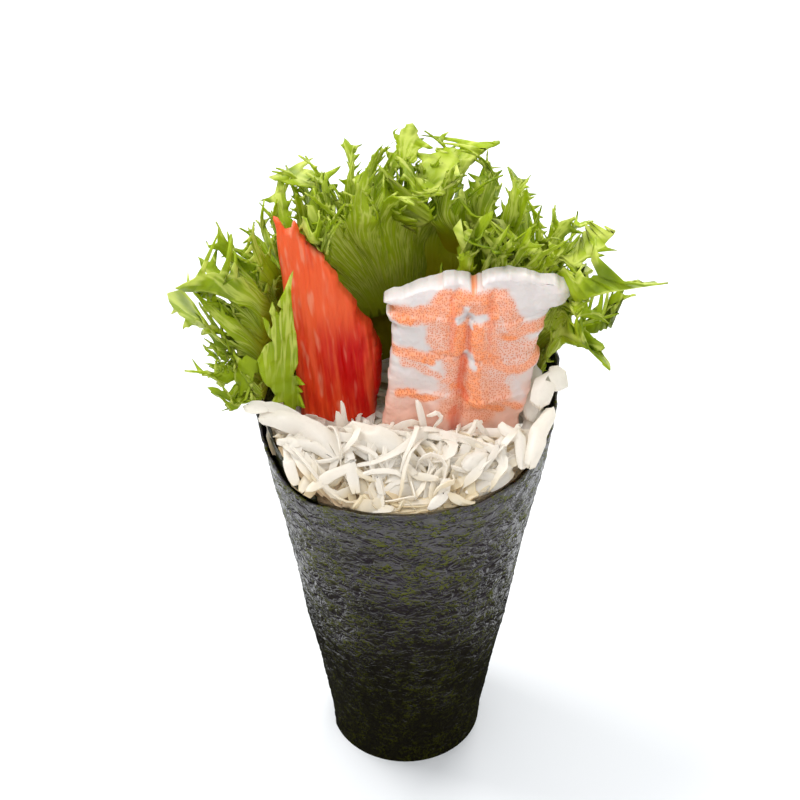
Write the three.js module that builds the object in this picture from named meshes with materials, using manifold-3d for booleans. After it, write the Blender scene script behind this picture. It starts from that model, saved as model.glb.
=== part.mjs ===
// Hand-rolled sushi cone standing on its folded foot: a nori wrap wound once round and lapped at the
// left, filled with shredded cabbage, with frilly lettuce leaves behind, a stick of crab meat at the
// front left and a butterflied shrimp at the front right.
// Millimetres, +Z up, +X to the right of someone facing the open front, -Y towards them.
// The origin is the centre of the foot, on the surface that the roll stands on.
import * as THREE from 'three';
import { mergeVertices } from 'three/addons/utils/BufferGeometryUtils.js';
import Module from 'manifold-3d';

// ---- driving dimensions ------------------------------------------------------------------------
const FOOT_RADIUS = 13.6; // outside of the cone where it stands
const CONE_SLOPE = 0.16; // radius gained for each millimetre of height
const FOOT_FLARE = 0.6; // the cut lower edge spreads a little
const SHEET = 0.8; // nori, with the give between its crinkles
const LAP_GAP = 0.4; // air between the two layers of the lap
const LAP_START = -172; // azimuth of the free outer edge, degrees from +X
const LAP_DIVE = 150; // where the sheet starts to pass inside its own outer edge
const LAP_UNDER = 186; // where it is fully inside
const LAP_END = 230; // azimuth of the hidden inner edge
const FRONT_RIM = 76; // height of the wrap's rim at the front
const BACK_RIM = 87.5; // and at the back
const CLEARANCE = 0.35; // between neighbouring pieces
const LEAF = 1.2; // lettuce blade
const LEAF_FOOT = 70; // where the smaller leaves start, down in the cabbage
const HEAP_TOP = 79.5; // crown of the shredded cabbage, behind the front rim
const HEAP_FLOOR = 1.2; // cabbage above the folded foot

// Height of the rim by azimuth, along the wound sheet from its outer edge to its inner one.
const RIM = [
  [LAP_START, 80.5], [-158, 73.9], [-142, 71.9], [-110, 74.8], [-90, FRONT_RIM], [-28, FRONT_RIM],
  [0, 80], [12, 85], [90, BACK_RIM], [150, 86], [186, 81.5], [205, 77], [LAP_END, 73.5],
];

// ---- small helpers -----------------------------------------------------------------------------
const radians = THREE.MathUtils.degToRad;
const mix = THREE.MathUtils.lerp;
const ease = THREE.MathUtils.smoothstep;

// Smooth value through [position, value] pairs.
function along(pairs, position) {
  const last = pairs.length - 1;
  if (position <= pairs[0][0]) return pairs[0][1];
  for (let i = 0; i < last; i += 1) {
    const [from, low] = pairs[i];
    const [to, high] = pairs[i + 1];
    if (position <= to) return mix(low, high, ease(position, from, to));
  }
  return pairs[last][1];
}

// Straight-line interpolation through a list of points, each a list of numbers. A share outside
// 0 to 1 carries on along the first or the last stretch.
function between(points, share) {
  const scaled = share * (points.length - 1);
  const index = Math.min(Math.max(Math.floor(scaled), 0), points.length - 2);
  return points[index].map((value, axis) => mix(value, points[index + 1][axis], scaled - index));
}

// Turns a closed triangle mesh so that its faces point outwards.
function facingOut(geometry) {
  const corner = [new THREE.Vector3(), new THREE.Vector3(), new THREE.Vector3()];
  const position = geometry.getAttribute('position');
  const index = geometry.getIndex().array;
  let volume = 0;
  for (let i = 0; i < index.length; i += 3) {
    corner.forEach((point, k) => point.fromBufferAttribute(position, index[i + k]));
    volume += corner[0].dot(corner[1].cross(corner[2]));
  }
  if (volume < 0) {
    for (let i = 0; i < index.length; i += 3) [index[i], index[i + 1]] = [index[i + 1], index[i]];
  }
  return geometry;
}

function triangleMesh(points, faces) {
  const geometry = new THREE.BufferGeometry();
  const numbers = points.flatMap((point) => point.toArray());
  geometry.setAttribute('position', new THREE.Float32BufferAttribute(numbers, 3));
  geometry.setIndex(faces);
  return geometry;
}

// A closed slab between two faces that are given on the same grid of (across, up) shares.
function slab(columns, rows, frontAt, backAt) {
  const points = [];
  [frontAt, backAt].forEach((pointAt) => {
    for (let row = 0; row <= rows; row += 1) {
      for (let column = 0; column <= columns; column += 1) {
        points.push(pointAt(column / columns, row / rows));
      }
    }
  });
  const width = columns + 1;
  const offset = width * (rows + 1);
  const faces = [];
  const quad = (a, b, c, d) => faces.push(a, b, c, a, c, d);
  for (let row = 0; row < rows; row += 1) {
    for (let column = 0; column < columns; column += 1) {
      const at = row * width + column;
      quad(at, at + 1, at + width + 1, at + width);
      quad(offset + at, offset + at + width, offset + at + width + 1, offset + at + 1);
    }
  }
  const edges = [];
  for (let column = 0; column < columns; column += 1) {
    edges.push([column + 1, column], [rows * width + column, rows * width + column + 1]);
  }
  for (let row = 0; row < rows; row += 1) {
    const right = row * width + columns;
    edges.push([row * width, (row + 1) * width], [right + width, right]);
  }
  edges.forEach(([a, b]) => quad(a, b, offset + b, offset + a));
  return facingOut(triangleMesh(points, faces));
}

// A sheet of even thickness on both sides of a middle surface.
function sheet(columns, rows, thickness, middleAt) {
  const step = 0.002;
  const normalAt = (across, up) => {
    const low = middleAt(across, Math.max(up - step, 0));
    const high = middleAt(across, Math.min(up + step, 1));
    const left = middleAt(Math.max(across - step, 0), up);
    const right = middleAt(Math.min(across + step, 1), up);
    return right.sub(left).cross(high.sub(low)).normalize();
  };
  const face = (side) => (across, up) => (
    middleAt(across, up).addScaledVector(normalAt(across, up), side * thickness / 2));
  return slab(columns, rows, face(1), face(-1));
}

// ---- joins and cuts ----------------------------------------------------------------------------
const library = await Module();
library.setup();

function toSolid(geometry) {
  const bare = geometry.clone();
  bare.deleteAttribute('normal');
  bare.deleteAttribute('uv');
  const merged = mergeVertices(bare, 1e-5);
  return new library.Manifold(new library.Mesh({
    numProp: 3,
    vertProperties: new Float32Array(merged.getAttribute('position').array),
    triVerts: new Uint32Array(merged.getIndex().array),
  }));
}

// The largest single body of a solid: a cut can leave crumbs at its edges.
function toGeometry(solid) {
  const bodies = solid.decompose().sort((a, b) => b.volume() - a.volume());
  const mesh = bodies[0].getMesh();
  const geometry = new THREE.BufferGeometry();
  const numbers = new Float32Array(mesh.vertProperties);
  geometry.setAttribute('position', new THREE.BufferAttribute(numbers, 3));
  geometry.setIndex(Array.from(mesh.triVerts));
  return geometry;
}

// ---- nori wrap ---------------------------------------------------------------------------------
function coneRadius(height) {
  return FOOT_RADIUS + CONE_SLOPE * height + FOOT_FLARE * Math.exp(-height / 2);
}

// How far the sheet has moved inwards under its own outer edge.
function lapInset(azimuth) {
  return (SHEET + LAP_GAP) * ease(azimuth, LAP_DIVE, LAP_UNDER);
}

// Inner face of the wrap, on a full turn: the lap ends a little past the inner edge.
function insideRadius(azimuth, height) {
  const lapMargin = 4;
  const lapped = azimuth < LAP_END + lapMargin - 360 ? azimuth + 360 : azimuth;
  return FOOT_RADIUS + CONE_SLOPE * height - SHEET - lapInset(lapped);
}

function polar(radius, azimuth, height) {
  const angle = radians(azimuth);
  return new THREE.Vector3(radius * Math.cos(angle), radius * Math.sin(angle), height);
}

function noriWrap() {
  const wound = sheet(64, 4, SHEET, (across, up) => {
    const azimuth = mix(LAP_START, LAP_END, across);
    const height = along(RIM, azimuth) * up ** 1.7; // rows are closer at the flared foot
    return polar(coneRadius(height) - SHEET / 2 - lapInset(azimuth), azimuth, height);
  });
  const folded = FOOT_RADIUS + FOOT_FLARE - SHEET / 2;
  const foot = new THREE.CylinderGeometry(folded, folded, SHEET, 24);
  foot.rotateX(Math.PI / 2);
  foot.translate(0, 0, SHEET / 2);
  return toGeometry(toSolid(wound).add(toSolid(foot)));
}

// ---- lettuce -----------------------------------------------------------------------------------
// The large leaf lines the back of the cone as half a tube and fans out above the rim, where its
// margin is gathered into folds.
const MAIN_LEAF = {
  from: 155, to: 24, // azimuths of its two sides
  foot: 66, opening: 88, // heights where it starts and where it leaves the rim
  side: 93, crown: 24, // margin height at the sides, and how much higher it is at the back
  flare: 1.5, sideFlare: 8.5, // how far the margin opens, and how much more at the sides
  folds: 11, fold: 2, tooth: 1.6,
};

function mainLeaf(growth) {
  const leaf = MAIN_LEAF;
  return sheet(4 * leaf.folds, 6, LEAF + 2 * growth, (across, up) => {
    const azimuth = mix(leaf.from + 3 * growth, leaf.to - 3 * growth, across);
    const angle = radians(azimuth);
    const tooth = leaf.tooth * (Math.abs(Math.sin(across * Math.PI * leaf.folds * 1.5)) - 0.5);
    const margin = leaf.side + leaf.crown * Math.sin(angle) ** 0.9 + tooth;
    const height = mix(leaf.foot - growth, margin, up);
    const lining = insideRadius(90, Math.min(height, 80)) - CLEARANCE - LEAF / 2;
    const open = Math.max(0, (height - leaf.opening) / (margin - leaf.opening));
    const flare = (leaf.flare + leaf.sideFlare * Math.abs(Math.cos(angle)) ** 1.2) * open ** 1.2;
    const ruffle = leaf.fold * Math.sin(across * Math.PI * 2 * leaf.folds) * open ** 1.5;
    return polar(lining + flare + ruffle, azimuth, height);
  });
}

// A smaller leaf is drawn from its hidden foot in the cabbage to its margin in the open.
function smallLeaf(shape, growth) {
  const beyond = 0.05 * growth; // about the growth as a share of a leaf 20 mm wide
  return sheet(shape.columns, shape.rows, LEAF + 2 * growth, (across, up) => {
    const share = mix(-beyond, 1 + beyond, across);
    const foot = between(shape.foot, share);
    const margin = between(shape.margin, share);
    const spread = up ** shape.flare;
    const wave = shape.fold * Math.sin(across * Math.PI * 2 * shape.folds) * up ** 3;
    return new THREE.Vector3(
      mix(foot[0], margin[0], spread),
      mix(foot[1], margin[1], spread) + wave,
      mix(foot[2] - growth, margin[2], up),
    );
  });
}

const RIGHT_LEAF = {
  foot: [[5, 13, LEAF_FOOT], [11, 12.5, LEAF_FOOT], [16.5, 9, LEAF_FOOT], [20.3, 4, LEAF_FOOT]],
  margin: [[5.8, 11, 100], [10.8, 12, 107], [15.8, 12.5, 109.5], [22.7, 12, 107.5], [30, 10.5, 106],
    [36, 8, 103], [38, 5.5, 96], [29, 3.5, 90]],
  flare: 2.2, folds: 4, fold: 1.3, columns: 24, rows: 6,
};

const LEFT_LEAF = {
  foot: [[-20.4, 8.2, LEAF_FOOT], [-21.2, 5, LEAF_FOOT], [-21.5, 1, LEAF_FOOT],
    [-21.2, -2.5, LEAF_FOOT]],
  margin: [[-26.5, 9.5, 106], [-32, 10.5, 109], [-36.5, 7.5, 103], [-37, 4, 96], [-34, 0.5, 91.5],
    [-28.5, -1.5, 88.5]],
  flare: 2.6, folds: 4, fold: 1.1, columns: 20, rows: 6,
};

const FRONT_LEAF = {
  foot: [[-21.8, -5, LEAF_FOOT + 3], [-20.6, -5.4, LEAF_FOOT + 3], [-19.6, -5.4, LEAF_FOOT + 3]],
  margin: [[-24.2, -0.6, 90], [-22.6, 1.6, 100], [-19.6, 2.4, 103.5], [-19, 0.8, 96]],
  flare: 1.1, folds: 1, fold: 0.3, columns: 8, rows: 6,
};

// ---- toppings that lean back -------------------------------------------------------------------
// Each is drawn in its own leaning plane as [run, across]: run is the distance up the slope from the
// height of the front rim, base the plane's Y there, and lean its backward run for each mm of rise.
function leaning(topping, across, run, depth) {
  const rise = run / Math.hypot(1, topping.lean);
  return new THREE.Vector3(across, topping.base + rise * topping.lean + depth, FRONT_RIM + rise);
}

// A stick of crab meat cut on the slant, with fibres as ridges down its front.
const CRAB = {
  base: 0.5, lean: 0.306, thick: 7.5, tip: 2.6, foot: -13, top: 35, ridge: 0.25, ridges: 3.5,
};
const CRAB_LEFT = [[-13, -18.6], [0, -18.6], [10, -19.6], [21, -21.2], [33, -22.6], [37, -23]];
const CRAB_RIGHT = [
  [-13, -6.4], [0, -5.4], [5, -4.4], [10, -5], [20, -10], [29, -15.6], [32, -17.8], [36, -21.5],
];

function crabStick(growth) {
  const face = (side) => (across, up) => {
    const run = mix(CRAB.foot - growth, CRAB.top + growth, up);
    const left = along(CRAB_LEFT, run) - growth;
    const right = along(CRAB_RIGHT, run) + growth;
    const thick = mix(CRAB.thick, CRAB.tip, ease(run, 0, CRAB.top));
    const rounding = thick * 0.3 * (1 - Math.sqrt(Math.max(0, 1 - (2 * across - 1) ** 4)));
    const ridge = CRAB.ridge * Math.sin(across * Math.PI * 2 * CRAB.ridges);
    const depth = side < 0 ? rounding - growth + ridge : thick - rounding + growth;
    return leaning(CRAB, mix(left, right, across), run, depth);
  };
  return slab(12, 9, face(-1), face(1));
}

// A butterflied shrimp: two halves with a groove between, segments scalloped at both sides.
const SHRIMP = {
  base: -7, lean: 0.357, thick: 6, foot: -12, top: 27.2,
  segment: 6.4, scallop: 0.55, crease: 0.35, // length of a segment and how deep it shows
  middle: 9.4, groove: 0.9, notch: 1.4, // the groove's X, its depth and its dip in the top edge
};
const SHRIMP_LEFT = [[-12, 2], [-3, -3], [1, -4.2], [21.6, -3.2], [23.6, -3.4], [27.2, 0.5]];
const SHRIMP_RIGHT = [
  [-12, 15], [-2, 19.4], [8, 22.4], [21.2, 23.4], [22.6, 27.6], [25.2, 27.6], [27.2, 23],
];

function shrimp(growth) {
  const face = (side) => (across, up) => {
    const run = mix(SHRIMP.foot - growth, SHRIMP.top + growth, up);
    const belly = Math.abs(Math.sin(run / SHRIMP.segment * Math.PI));
    const left = along(SHRIMP_LEFT, run) - growth - SHRIMP.scallop * belly;
    const right = along(SHRIMP_RIGHT, run) + growth + SHRIMP.scallop * belly;
    const x = mix(left, right, across);
    const valley = Math.exp(-(((x - SHRIMP.middle) / 1.4) ** 2));
    const notch = SHRIMP.notch * valley * ease(up, 0.8, 1);
    const crown = Math.sqrt(Math.max(0, 1 - Math.abs(2 * across - 1) ** 3));
    const thinning = mix(1, 0.55, ease(run, SHRIMP.top - 6, SHRIMP.top + 3));
    const cuts = SHRIMP.groove * valley + SHRIMP.crease * (1 - belly) ** 2;
    const half = SHRIMP.thick * (0.22 + 0.28 * crown) * thinning - cuts + growth;
    return leaning(SHRIMP, x, run - notch, SHRIMP.thick / 2 + side * half);
  };
  return slab(18, 17, face(-1), face(1));
}

// ---- shredded cabbage --------------------------------------------------------------------------
// Height of the heap: level with the front rim, crowned behind it, lower where the toppings stand and
// lower still behind them.
function heapHeight(x, y) {
  const crown = mix(FRONT_RIM - 2.5, HEAP_TOP, ease(y, -25, -11));
  const standing = mix(crown, FRONT_RIM - 2.5, ease(y, -9, 1));
  const back = mix(standing, LEAF_FOOT - 1, ease(y, 2, 12));
  const right = 3 * ease(x, 19, 23) * ease(y, -8, -1);
  const strands = 0.8 * Math.sin(x * 0.9 + y * 0.35) * Math.cos(y * 0.8 - x * 0.3);
  const ends = 0.5 * Math.sin(x * 2.1 + y * 1.7);
  return back + right + strands + ends;
}

// Rings of points up the wall of the cone and then inwards over the top of the heap.
function heapBody() {
  const turns = 36;
  const rings = 5;
  const levels = [HEAP_FLOOR, 25, 50];
  const points = [new THREE.Vector3(0, 0, HEAP_FLOOR), new THREE.Vector3(0, 0, heapHeight(0, 0))];
  const besideWall = (azimuth, height) => insideRadius(azimuth, height) - CLEARANCE;
  const ringAt = (turn, level) => {
    const azimuth = turn / turns * 360 + LAP_START;
    if (level < levels.length) {
      return polar(besideWall(azimuth, levels[level]), azimuth, levels[level]);
    }
    const share = 1 - (level - levels.length) / rings;
    const reach = besideWall(azimuth, MAIN_LEAF.foot) * share;
    const over = polar(reach, azimuth, 0);
    const belowRim = along(RIM, azimuth) - 2 + 12 * (1 - share);
    const height = Math.min(heapHeight(over.x, over.y), belowRim);
    return polar(share === 1 ? besideWall(azimuth, height) : reach, azimuth, height);
  };
  const count = levels.length + rings;
  for (let level = 0; level < count; level += 1) {
    for (let turn = 0; turn < turns; turn += 1) points.push(ringAt(turn, level));
  }
  const faces = [];
  for (let turn = 0; turn < turns; turn += 1) {
    const next = (turn + 1) % turns;
    faces.push(0, 2 + next, 2 + turn);
    for (let level = 0; level < count - 1; level += 1) {
      const low = 2 + level * turns;
      const high = low + turns;
      faces.push(low + turn, low + next, high + next, low + turn, high + next, high + turn);
    }
    const top = 2 + (count - 1) * turns;
    faces.push(1, top + turn, top + next);
  }
  return facingOut(triangleMesh(points, faces));
}

function cabbageHeap() {
  const pressed = [
    mainLeaf(CLEARANCE), smallLeaf(RIGHT_LEAF, CLEARANCE), smallLeaf(LEFT_LEAF, CLEARANCE),
    smallLeaf(FRONT_LEAF, CLEARANCE), crabStick(CLEARANCE), shrimp(CLEARANCE),
  ];
  const heap = pressed.reduce((solid, piece) => solid.subtract(toSolid(piece)), toSolid(heapBody()));
  return toGeometry(heap);
}

// ---- the roll ----------------------------------------------------------------------------------
function piece(name, geometry, color, roughness) {
  const material = new THREE.MeshStandardMaterial({ color, roughness, metalness: 0 });
  const mesh = new THREE.Mesh(geometry, material);
  mesh.name = name;
  return mesh;
}

const roll = new THREE.Group();
roll.add(
  piece('nori_wrap', noriWrap(), 0x20241a, 0.45),
  piece('cabbage_heap', cabbageHeap(), 0xece5d2, 0.5),
  piece('crab_stick', crabStick(0), 0xdc3b22, 0.4),
  piece('shrimp', shrimp(0), 0xf0b9a0, 0.35),
  piece('lettuce_leaf', mainLeaf(0), 0x8fa92e, 0.5),
  piece('lettuce_right', smallLeaf(RIGHT_LEAF, 0), 0x9cb83a, 0.5),
  piece('lettuce_left', smallLeaf(LEFT_LEAF, 0), 0x9cb83a, 0.5),
  piece('lettuce_front', smallLeaf(FRONT_LEAF, 0), 0xa9c146, 0.5),
);

export default roll;
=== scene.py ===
"""Looks of a hand roll: a crinkled nori cone filled with shredded cabbage, frilly lettuce, a crab stick
and a butterflied shrimp. Sizes are in millimetres unless a name or a property says otherwise."""

import math
import random

import bpy
import numpy as np
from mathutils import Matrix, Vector, noise
from mathutils.geometry import delaunay_2d_cdt


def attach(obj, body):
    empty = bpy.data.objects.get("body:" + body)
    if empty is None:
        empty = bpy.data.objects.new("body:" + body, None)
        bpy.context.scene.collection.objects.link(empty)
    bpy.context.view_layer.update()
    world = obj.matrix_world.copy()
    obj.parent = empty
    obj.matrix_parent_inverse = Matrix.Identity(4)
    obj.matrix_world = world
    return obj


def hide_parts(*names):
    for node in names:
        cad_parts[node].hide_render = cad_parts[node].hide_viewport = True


bl_info = {
    "name": "Hand Roll Kit",
    "version": (1, 0, 0),
    "blender": (4, 5, 0),
    "location": "View3D > Sidebar > Hand Roll",
    "description": "Builds a nori cone with its filling, one piece at a time",
    "category": "Add Mesh",
}

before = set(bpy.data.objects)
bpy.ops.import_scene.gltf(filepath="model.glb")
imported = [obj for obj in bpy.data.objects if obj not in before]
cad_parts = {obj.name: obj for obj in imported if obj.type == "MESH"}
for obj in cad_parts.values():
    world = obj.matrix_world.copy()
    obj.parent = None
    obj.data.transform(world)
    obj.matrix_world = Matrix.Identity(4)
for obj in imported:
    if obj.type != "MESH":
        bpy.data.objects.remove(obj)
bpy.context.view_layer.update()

# A millimetre in metres, and a decimetre in millimetres.
MM = 0.001
DECIMETRE = 100.0
ROOT = "root"

# The cone of nori: azimuth 0 is at the right, -90 at the front, and the lap is at the left. Its places
# on the flat sheet are worked out at one middling radius.
FRONT_RIM = 76.0
FOOT_RADIUS, FOOT_FLARE, CONE_SLOPE = 13.6, 0.6, 0.16
FLAT_RADIUS = 22.0
LAP_START, LAP_DIVE, LAP_UNDER, LAP_END = -182.0, 146.0, 178.0, 230.0
LAP_INSET = 1.2
# Height of the rim by azimuth.
RIM = [
    [LAP_START, 81.6], [-172, 80.5], [-158, 73.9], [-142, 71.9], [-110, 74.8], [-90, FRONT_RIM],
    [-28, FRONT_RIM], [0, 80.0], [12, 85.0], [90, 87.5], [150, 86.0], [186, 81.5], [205, 77.0],
    [LAP_END, 73.5],
]

# The crab stick and the shrimp lean back: Y at the height of the front rim, Y for each Z, lower end as
# a distance up the slope from there, and thickness.
CRAB_BASE, CRAB_LEAN, CRAB_FOOT, CRAB_THICK, CRAB_TIP = 0.5, 0.306, -9.0, 7.0, 1.8
SHRIMP_BASE, SHRIMP_LEAN, SHRIMP_FOOT, SHRIMP_THICK = -7.0, 0.357, -9.0, 6.0
# Their side edges: distance up the slope, X.
CRAB_LEFT = [[-13, -18.4], [0, -18.4], [10, -19.6], [21, -21.0], [33, -22.0], [37.5, -22.9]]
CRAB_RIGHT = [
    [-13, -6.4], [0, -5.2], [5, -4.2], [10, -4.4], [14, -5.8], [18, -8.4], [24, -11.6], [28, -14.0],
    [31.5, -17.0], [32.6, -18.2], [34.5, -18.4], [36, -18.0],
]
SHRIMP_LEFT = [
    [-12, 2], [-3, -2.5], [1, -4.0], [6, -3.4], [9.5, -3.1], [14, -2.6], [18, -2.3], [20.5, -2.0],
    [21.2, -3.2], [22.2, -3.4], [22.8, -1.8], [23.4, -2.0], [24.6, -4.2], [25.8, -1.6], [27.5, 0.8],
]
SHRIMP_RIGHT = [
    [-12, 15], [-2, 18.6], [2, 19.3], [7, 20.8], [10, 21.4], [12, 21.6], [14, 22.8], [15.5, 22.2],
    [18, 22.5], [20, 23.4], [22, 23.6], [23.4, 24.4], [24.4, 27.0], [26.2, 28.0], [27.6, 26.6], [28.2, 24.0],
]


# ---- numbers and points ------------------------------------------------------------------------
def mix(low, high, share):
    """The value a share of the way from low to high."""
    return low + (high - low) * share


def ease(value, low, high):
    """Rises smoothly from 0 at low to 1 at high; low may be the larger."""
    share = np.clip((value - low) / (high - low), 0.0, 1.0)
    return share * share * (3.0 - 2.0 * share)


def along(pairs, position):
    """Smooth value through [position, value] pairs."""
    pairs = np.array(pairs, float)
    index = np.clip(np.searchsorted(pairs[:, 0], position, side="right") - 1, 0, len(pairs) - 2)
    low, high = pairs[index], pairs[index + 1]
    return mix(low[..., 1], high[..., 1], ease(position, low[..., 0], high[..., 0]))


def through(points, share):
    """Points on a smooth curve through a list of points, at shares of its length."""
    points = np.array(points, float)
    scaled = np.clip(np.asarray(share, float), 0.0, 1.0) * (len(points) - 1)
    index = np.clip(scaled.astype(int), 0, len(points) - 2)
    rest = (scaled - index)[..., None]
    before = points[np.maximum(index - 1, 0)]
    low, high = points[index], points[index + 1]
    after = points[np.minimum(index + 2, len(points) - 1)]
    bend = (after - low) * rest + (high - before) * (1.0 - rest)
    return mix(low, high, ease(rest, 0.0, 1.0)) + (bend / 2.0 - (high - low) / 2.0) * rest * (1.0 - rest)


def inside(points, outline):
    """Says which points lie inside a closed outline."""
    (x0, y0), (x1, y1) = np.array(outline).T, np.roll(outline, -1, axis=0).T
    rising = np.where(y1 == y0, 1.0, y1 - y0)
    found = []
    for part in np.array_split(np.array(points), 1 + len(points) // 1000):
        x, y = part[:, 0, None], part[:, 1, None]
        crossed = ((y0 > y) != (y1 > y)) & (x < x0 + (x1 - x0) * (y - y0) / rising)
        found.append(crossed.sum(axis=1) % 2 == 1)
    return np.concatenate(found)


def polar(radius, azimuth, height):
    """Points round the roll's axis, by azimuth in degrees."""
    angle = np.radians(azimuth)
    return np.stack([radius * np.cos(angle), radius * np.sin(angle), height + 0.0 * radius], -1)


def rough(points, size, octaves=1, seed=0.0):
    """Smooth noise from -1 to 1 at points in mm, with features of a size in mm."""
    shift = Vector((seed * 17.3, seed * 5.1, seed * 9.7))
    scaled = np.asarray(points, float) / size
    if octaves == 1:
        values = [noise.noise(Vector(p) + shift) for p in scaled]
    else:
        values = [noise.fractal(Vector(p) + shift, 0.9, 2.1, octaves) for p in scaled]
    return np.array(values)


def unit(vectors):
    """Each direction scaled to length 1."""
    return vectors / np.linalg.norm(vectors, axis=1)[:, None]


def turned(side, normal, angle):
    """Two directions at right angles, turned together by an angle in radians."""
    cosine, sine = np.cos(angle)[:, None], np.sin(angle)[:, None]
    return side * cosine + normal * sine, normal * cosine - side * sine


# ---- meshes ------------------------------------------------------------------------------------
def start(name, shape, **settings):
    """Adds a primitive with nothing else selected and names it."""
    if bpy.context.object and bpy.context.object.mode != "OBJECT":
        bpy.ops.object.mode_set(mode="OBJECT")
    bpy.ops.object.select_all(action="DESELECT")
    getattr(bpy.ops.mesh, "primitive_" + shape + "_add")(**settings)
    piece = bpy.context.object
    piece.name = piece.data.name = name
    return piece


def read_points(piece):
    points = np.zeros(len(piece.data.vertices) * 3)
    piece.data.vertices.foreach_get("co", points)
    return points.reshape(-1, 3)


def write_points(piece, points):
    piece.data.vertices.foreach_set("co", np.ascontiguousarray(points, dtype=np.float32).ravel())
    piece.data.update()


def store(piece, name, values):
    """Keeps one number for each point, for the materials."""
    layer = piece.data.attributes.new(name, "FLOAT", "POINT")
    layer.data.foreach_set("value", np.asarray(values, dtype=np.float32))


def keep_place(piece, x, y):
    """Stores each point's place on the flat piece, in decimetres, as the UV map."""
    layers = piece.data.uv_layers
    layer = layers["UVMap"] if layers else layers.new(name="UVMap")
    corners = np.zeros(len(piece.data.loops), np.int32)
    piece.data.loops.foreach_get("vertex_index", corners)
    spot = np.stack([x[corners], y[corners]], -1) / DECIMETRE
    layer.data.foreach_set("uv", spot.astype(np.float32).ravel())


def slab(name, columns, rows, place):
    """A closed body between two faces: points go to place(across, up, side), side 0 in front."""
    piece = start(name, "grid", x_subdivisions=columns, y_subdivisions=rows, size=1.0)
    bpy.ops.object.mode_set(mode="EDIT")
    bpy.ops.mesh.select_all(action="SELECT")
    bpy.ops.mesh.extrude_region_move(TRANSFORM_OT_translate={"value": (0.0, 0.0, 1.0)})
    bpy.ops.object.mode_set(mode="OBJECT")
    flat = read_points(piece)
    write_points(piece, place(flat[:, 0] + 0.5, flat[:, 1] + 0.5, flat[:, 2]) * MM)
    outwards(piece)
    return piece, flat


def fill_outline(outline, *groups):
    """Fills a closed flat outline with triangles between its points and the points of the groups that
    lie inside it. Returns the flat points, the triangles, and 1 at each point of the first group."""
    groups = [np.array(group)[inside(group, outline)] for group in groups]
    points = [Vector(p) for p in (*outline, *np.concatenate(groups))]
    made, _, faces, origins, _, _ = delaunay_2d_cdt(points, [], [list(range(len(outline)))], 1, 1e-4, True)
    first = set(range(len(outline), len(outline) + len(groups[0])))
    from_first = np.array([1.0 if first.intersection(origin) else 0.0 for origin in origins])
    flat, faces = np.array([(p.x, p.y) for p in made]), np.array(faces)
    faces = faces[inside(flat[faces].mean(axis=1), outline)]
    used, faces = np.unique(faces, return_inverse=True)
    return flat[used], faces.reshape(-1, 3).tolist(), from_first[used]


def outwards(piece):
    """Makes a closed shell's faces point outwards."""
    bpy.context.view_layer.objects.active = piece
    bpy.ops.object.mode_set(mode="EDIT")
    bpy.ops.mesh.select_all(action="SELECT")
    bpy.ops.mesh.remove_doubles(threshold=1e-7)
    bpy.ops.mesh.normals_make_consistent(inside=False)
    bpy.ops.object.mode_set(mode="OBJECT")


def from_faces(name, points, faces):
    """A piece from points in mm and faces."""
    mesh = bpy.data.meshes.new(name)
    mesh.from_pydata((np.asarray(points) * MM).tolist(), [], faces)
    mesh.update()
    piece = bpy.data.objects.new(name, mesh)
    bpy.context.scene.collection.objects.link(piece)
    bpy.ops.object.select_all(action="DESELECT")
    piece.select_set(True)
    bpy.context.view_layer.objects.active = piece
    return piece


def modify(piece, kind, **settings):
    """Adds one modifier and applies it."""
    bpy.ops.object.select_all(action="DESELECT")
    piece.select_set(True)
    bpy.context.view_layer.objects.active = piece
    added = piece.modifiers.new(kind.title(), kind)
    for key, value in settings.items():
        setattr(added, key, value)
    bpy.ops.object.modifier_apply(modifier=added.name)


def smooth(piece):
    for face in piece.data.polygons:
        face.use_smooth = True


def finished(piece, node, finish):
    """Gives a piece smooth shading and its finish, hangs it under the root body, and hides the solid that it
    stands for.
    """
    smooth(piece)
    piece.data.materials.clear()
    piece.data.materials.append(finish)
    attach(piece, ROOT)
    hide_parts(node)


# ---- materials ---------------------------------------------------------------------------------
class Shade:
    """A socket that can be used in sums."""

    def __init__(self, finish, socket):
        self.finish = finish
        self.socket = socket

    def _sum(self, operation, first, second, clamp=False):
        settings = {"operation": operation, "use_clamp": clamp}
        return self.finish.add("ShaderNodeMath", settings, {0: first, 1: second}).out(0)

    def __add__(self, other):
        return self._sum("ADD", self, other)

    def __radd__(self, other):
        return self._sum("ADD", other, self)

    def __sub__(self, other):
        return self._sum("SUBTRACT", self, other)

    def __rsub__(self, other):
        return self._sum("SUBTRACT", other, self)

    def __mul__(self, other):
        return self._sum("MULTIPLY", self, other)

    def __rmul__(self, other):
        return self._sum("MULTIPLY", other, self)

    def size(self):
        """The value without its sign."""
        return self._sum("ABSOLUTE", self, 0.0)

    def clamped(self):
        """The value kept between 0 and 1."""
        return self._sum("ADD", self, 0.0, clamp=True)


class Added:
    """A node that has been added, whose outputs are read by name or number."""

    def __init__(self, finish, node):
        self.finish = finish
        self.node = node

    def out(self, name=0):
        return Shade(self.finish, self.node.outputs[name])


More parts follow.
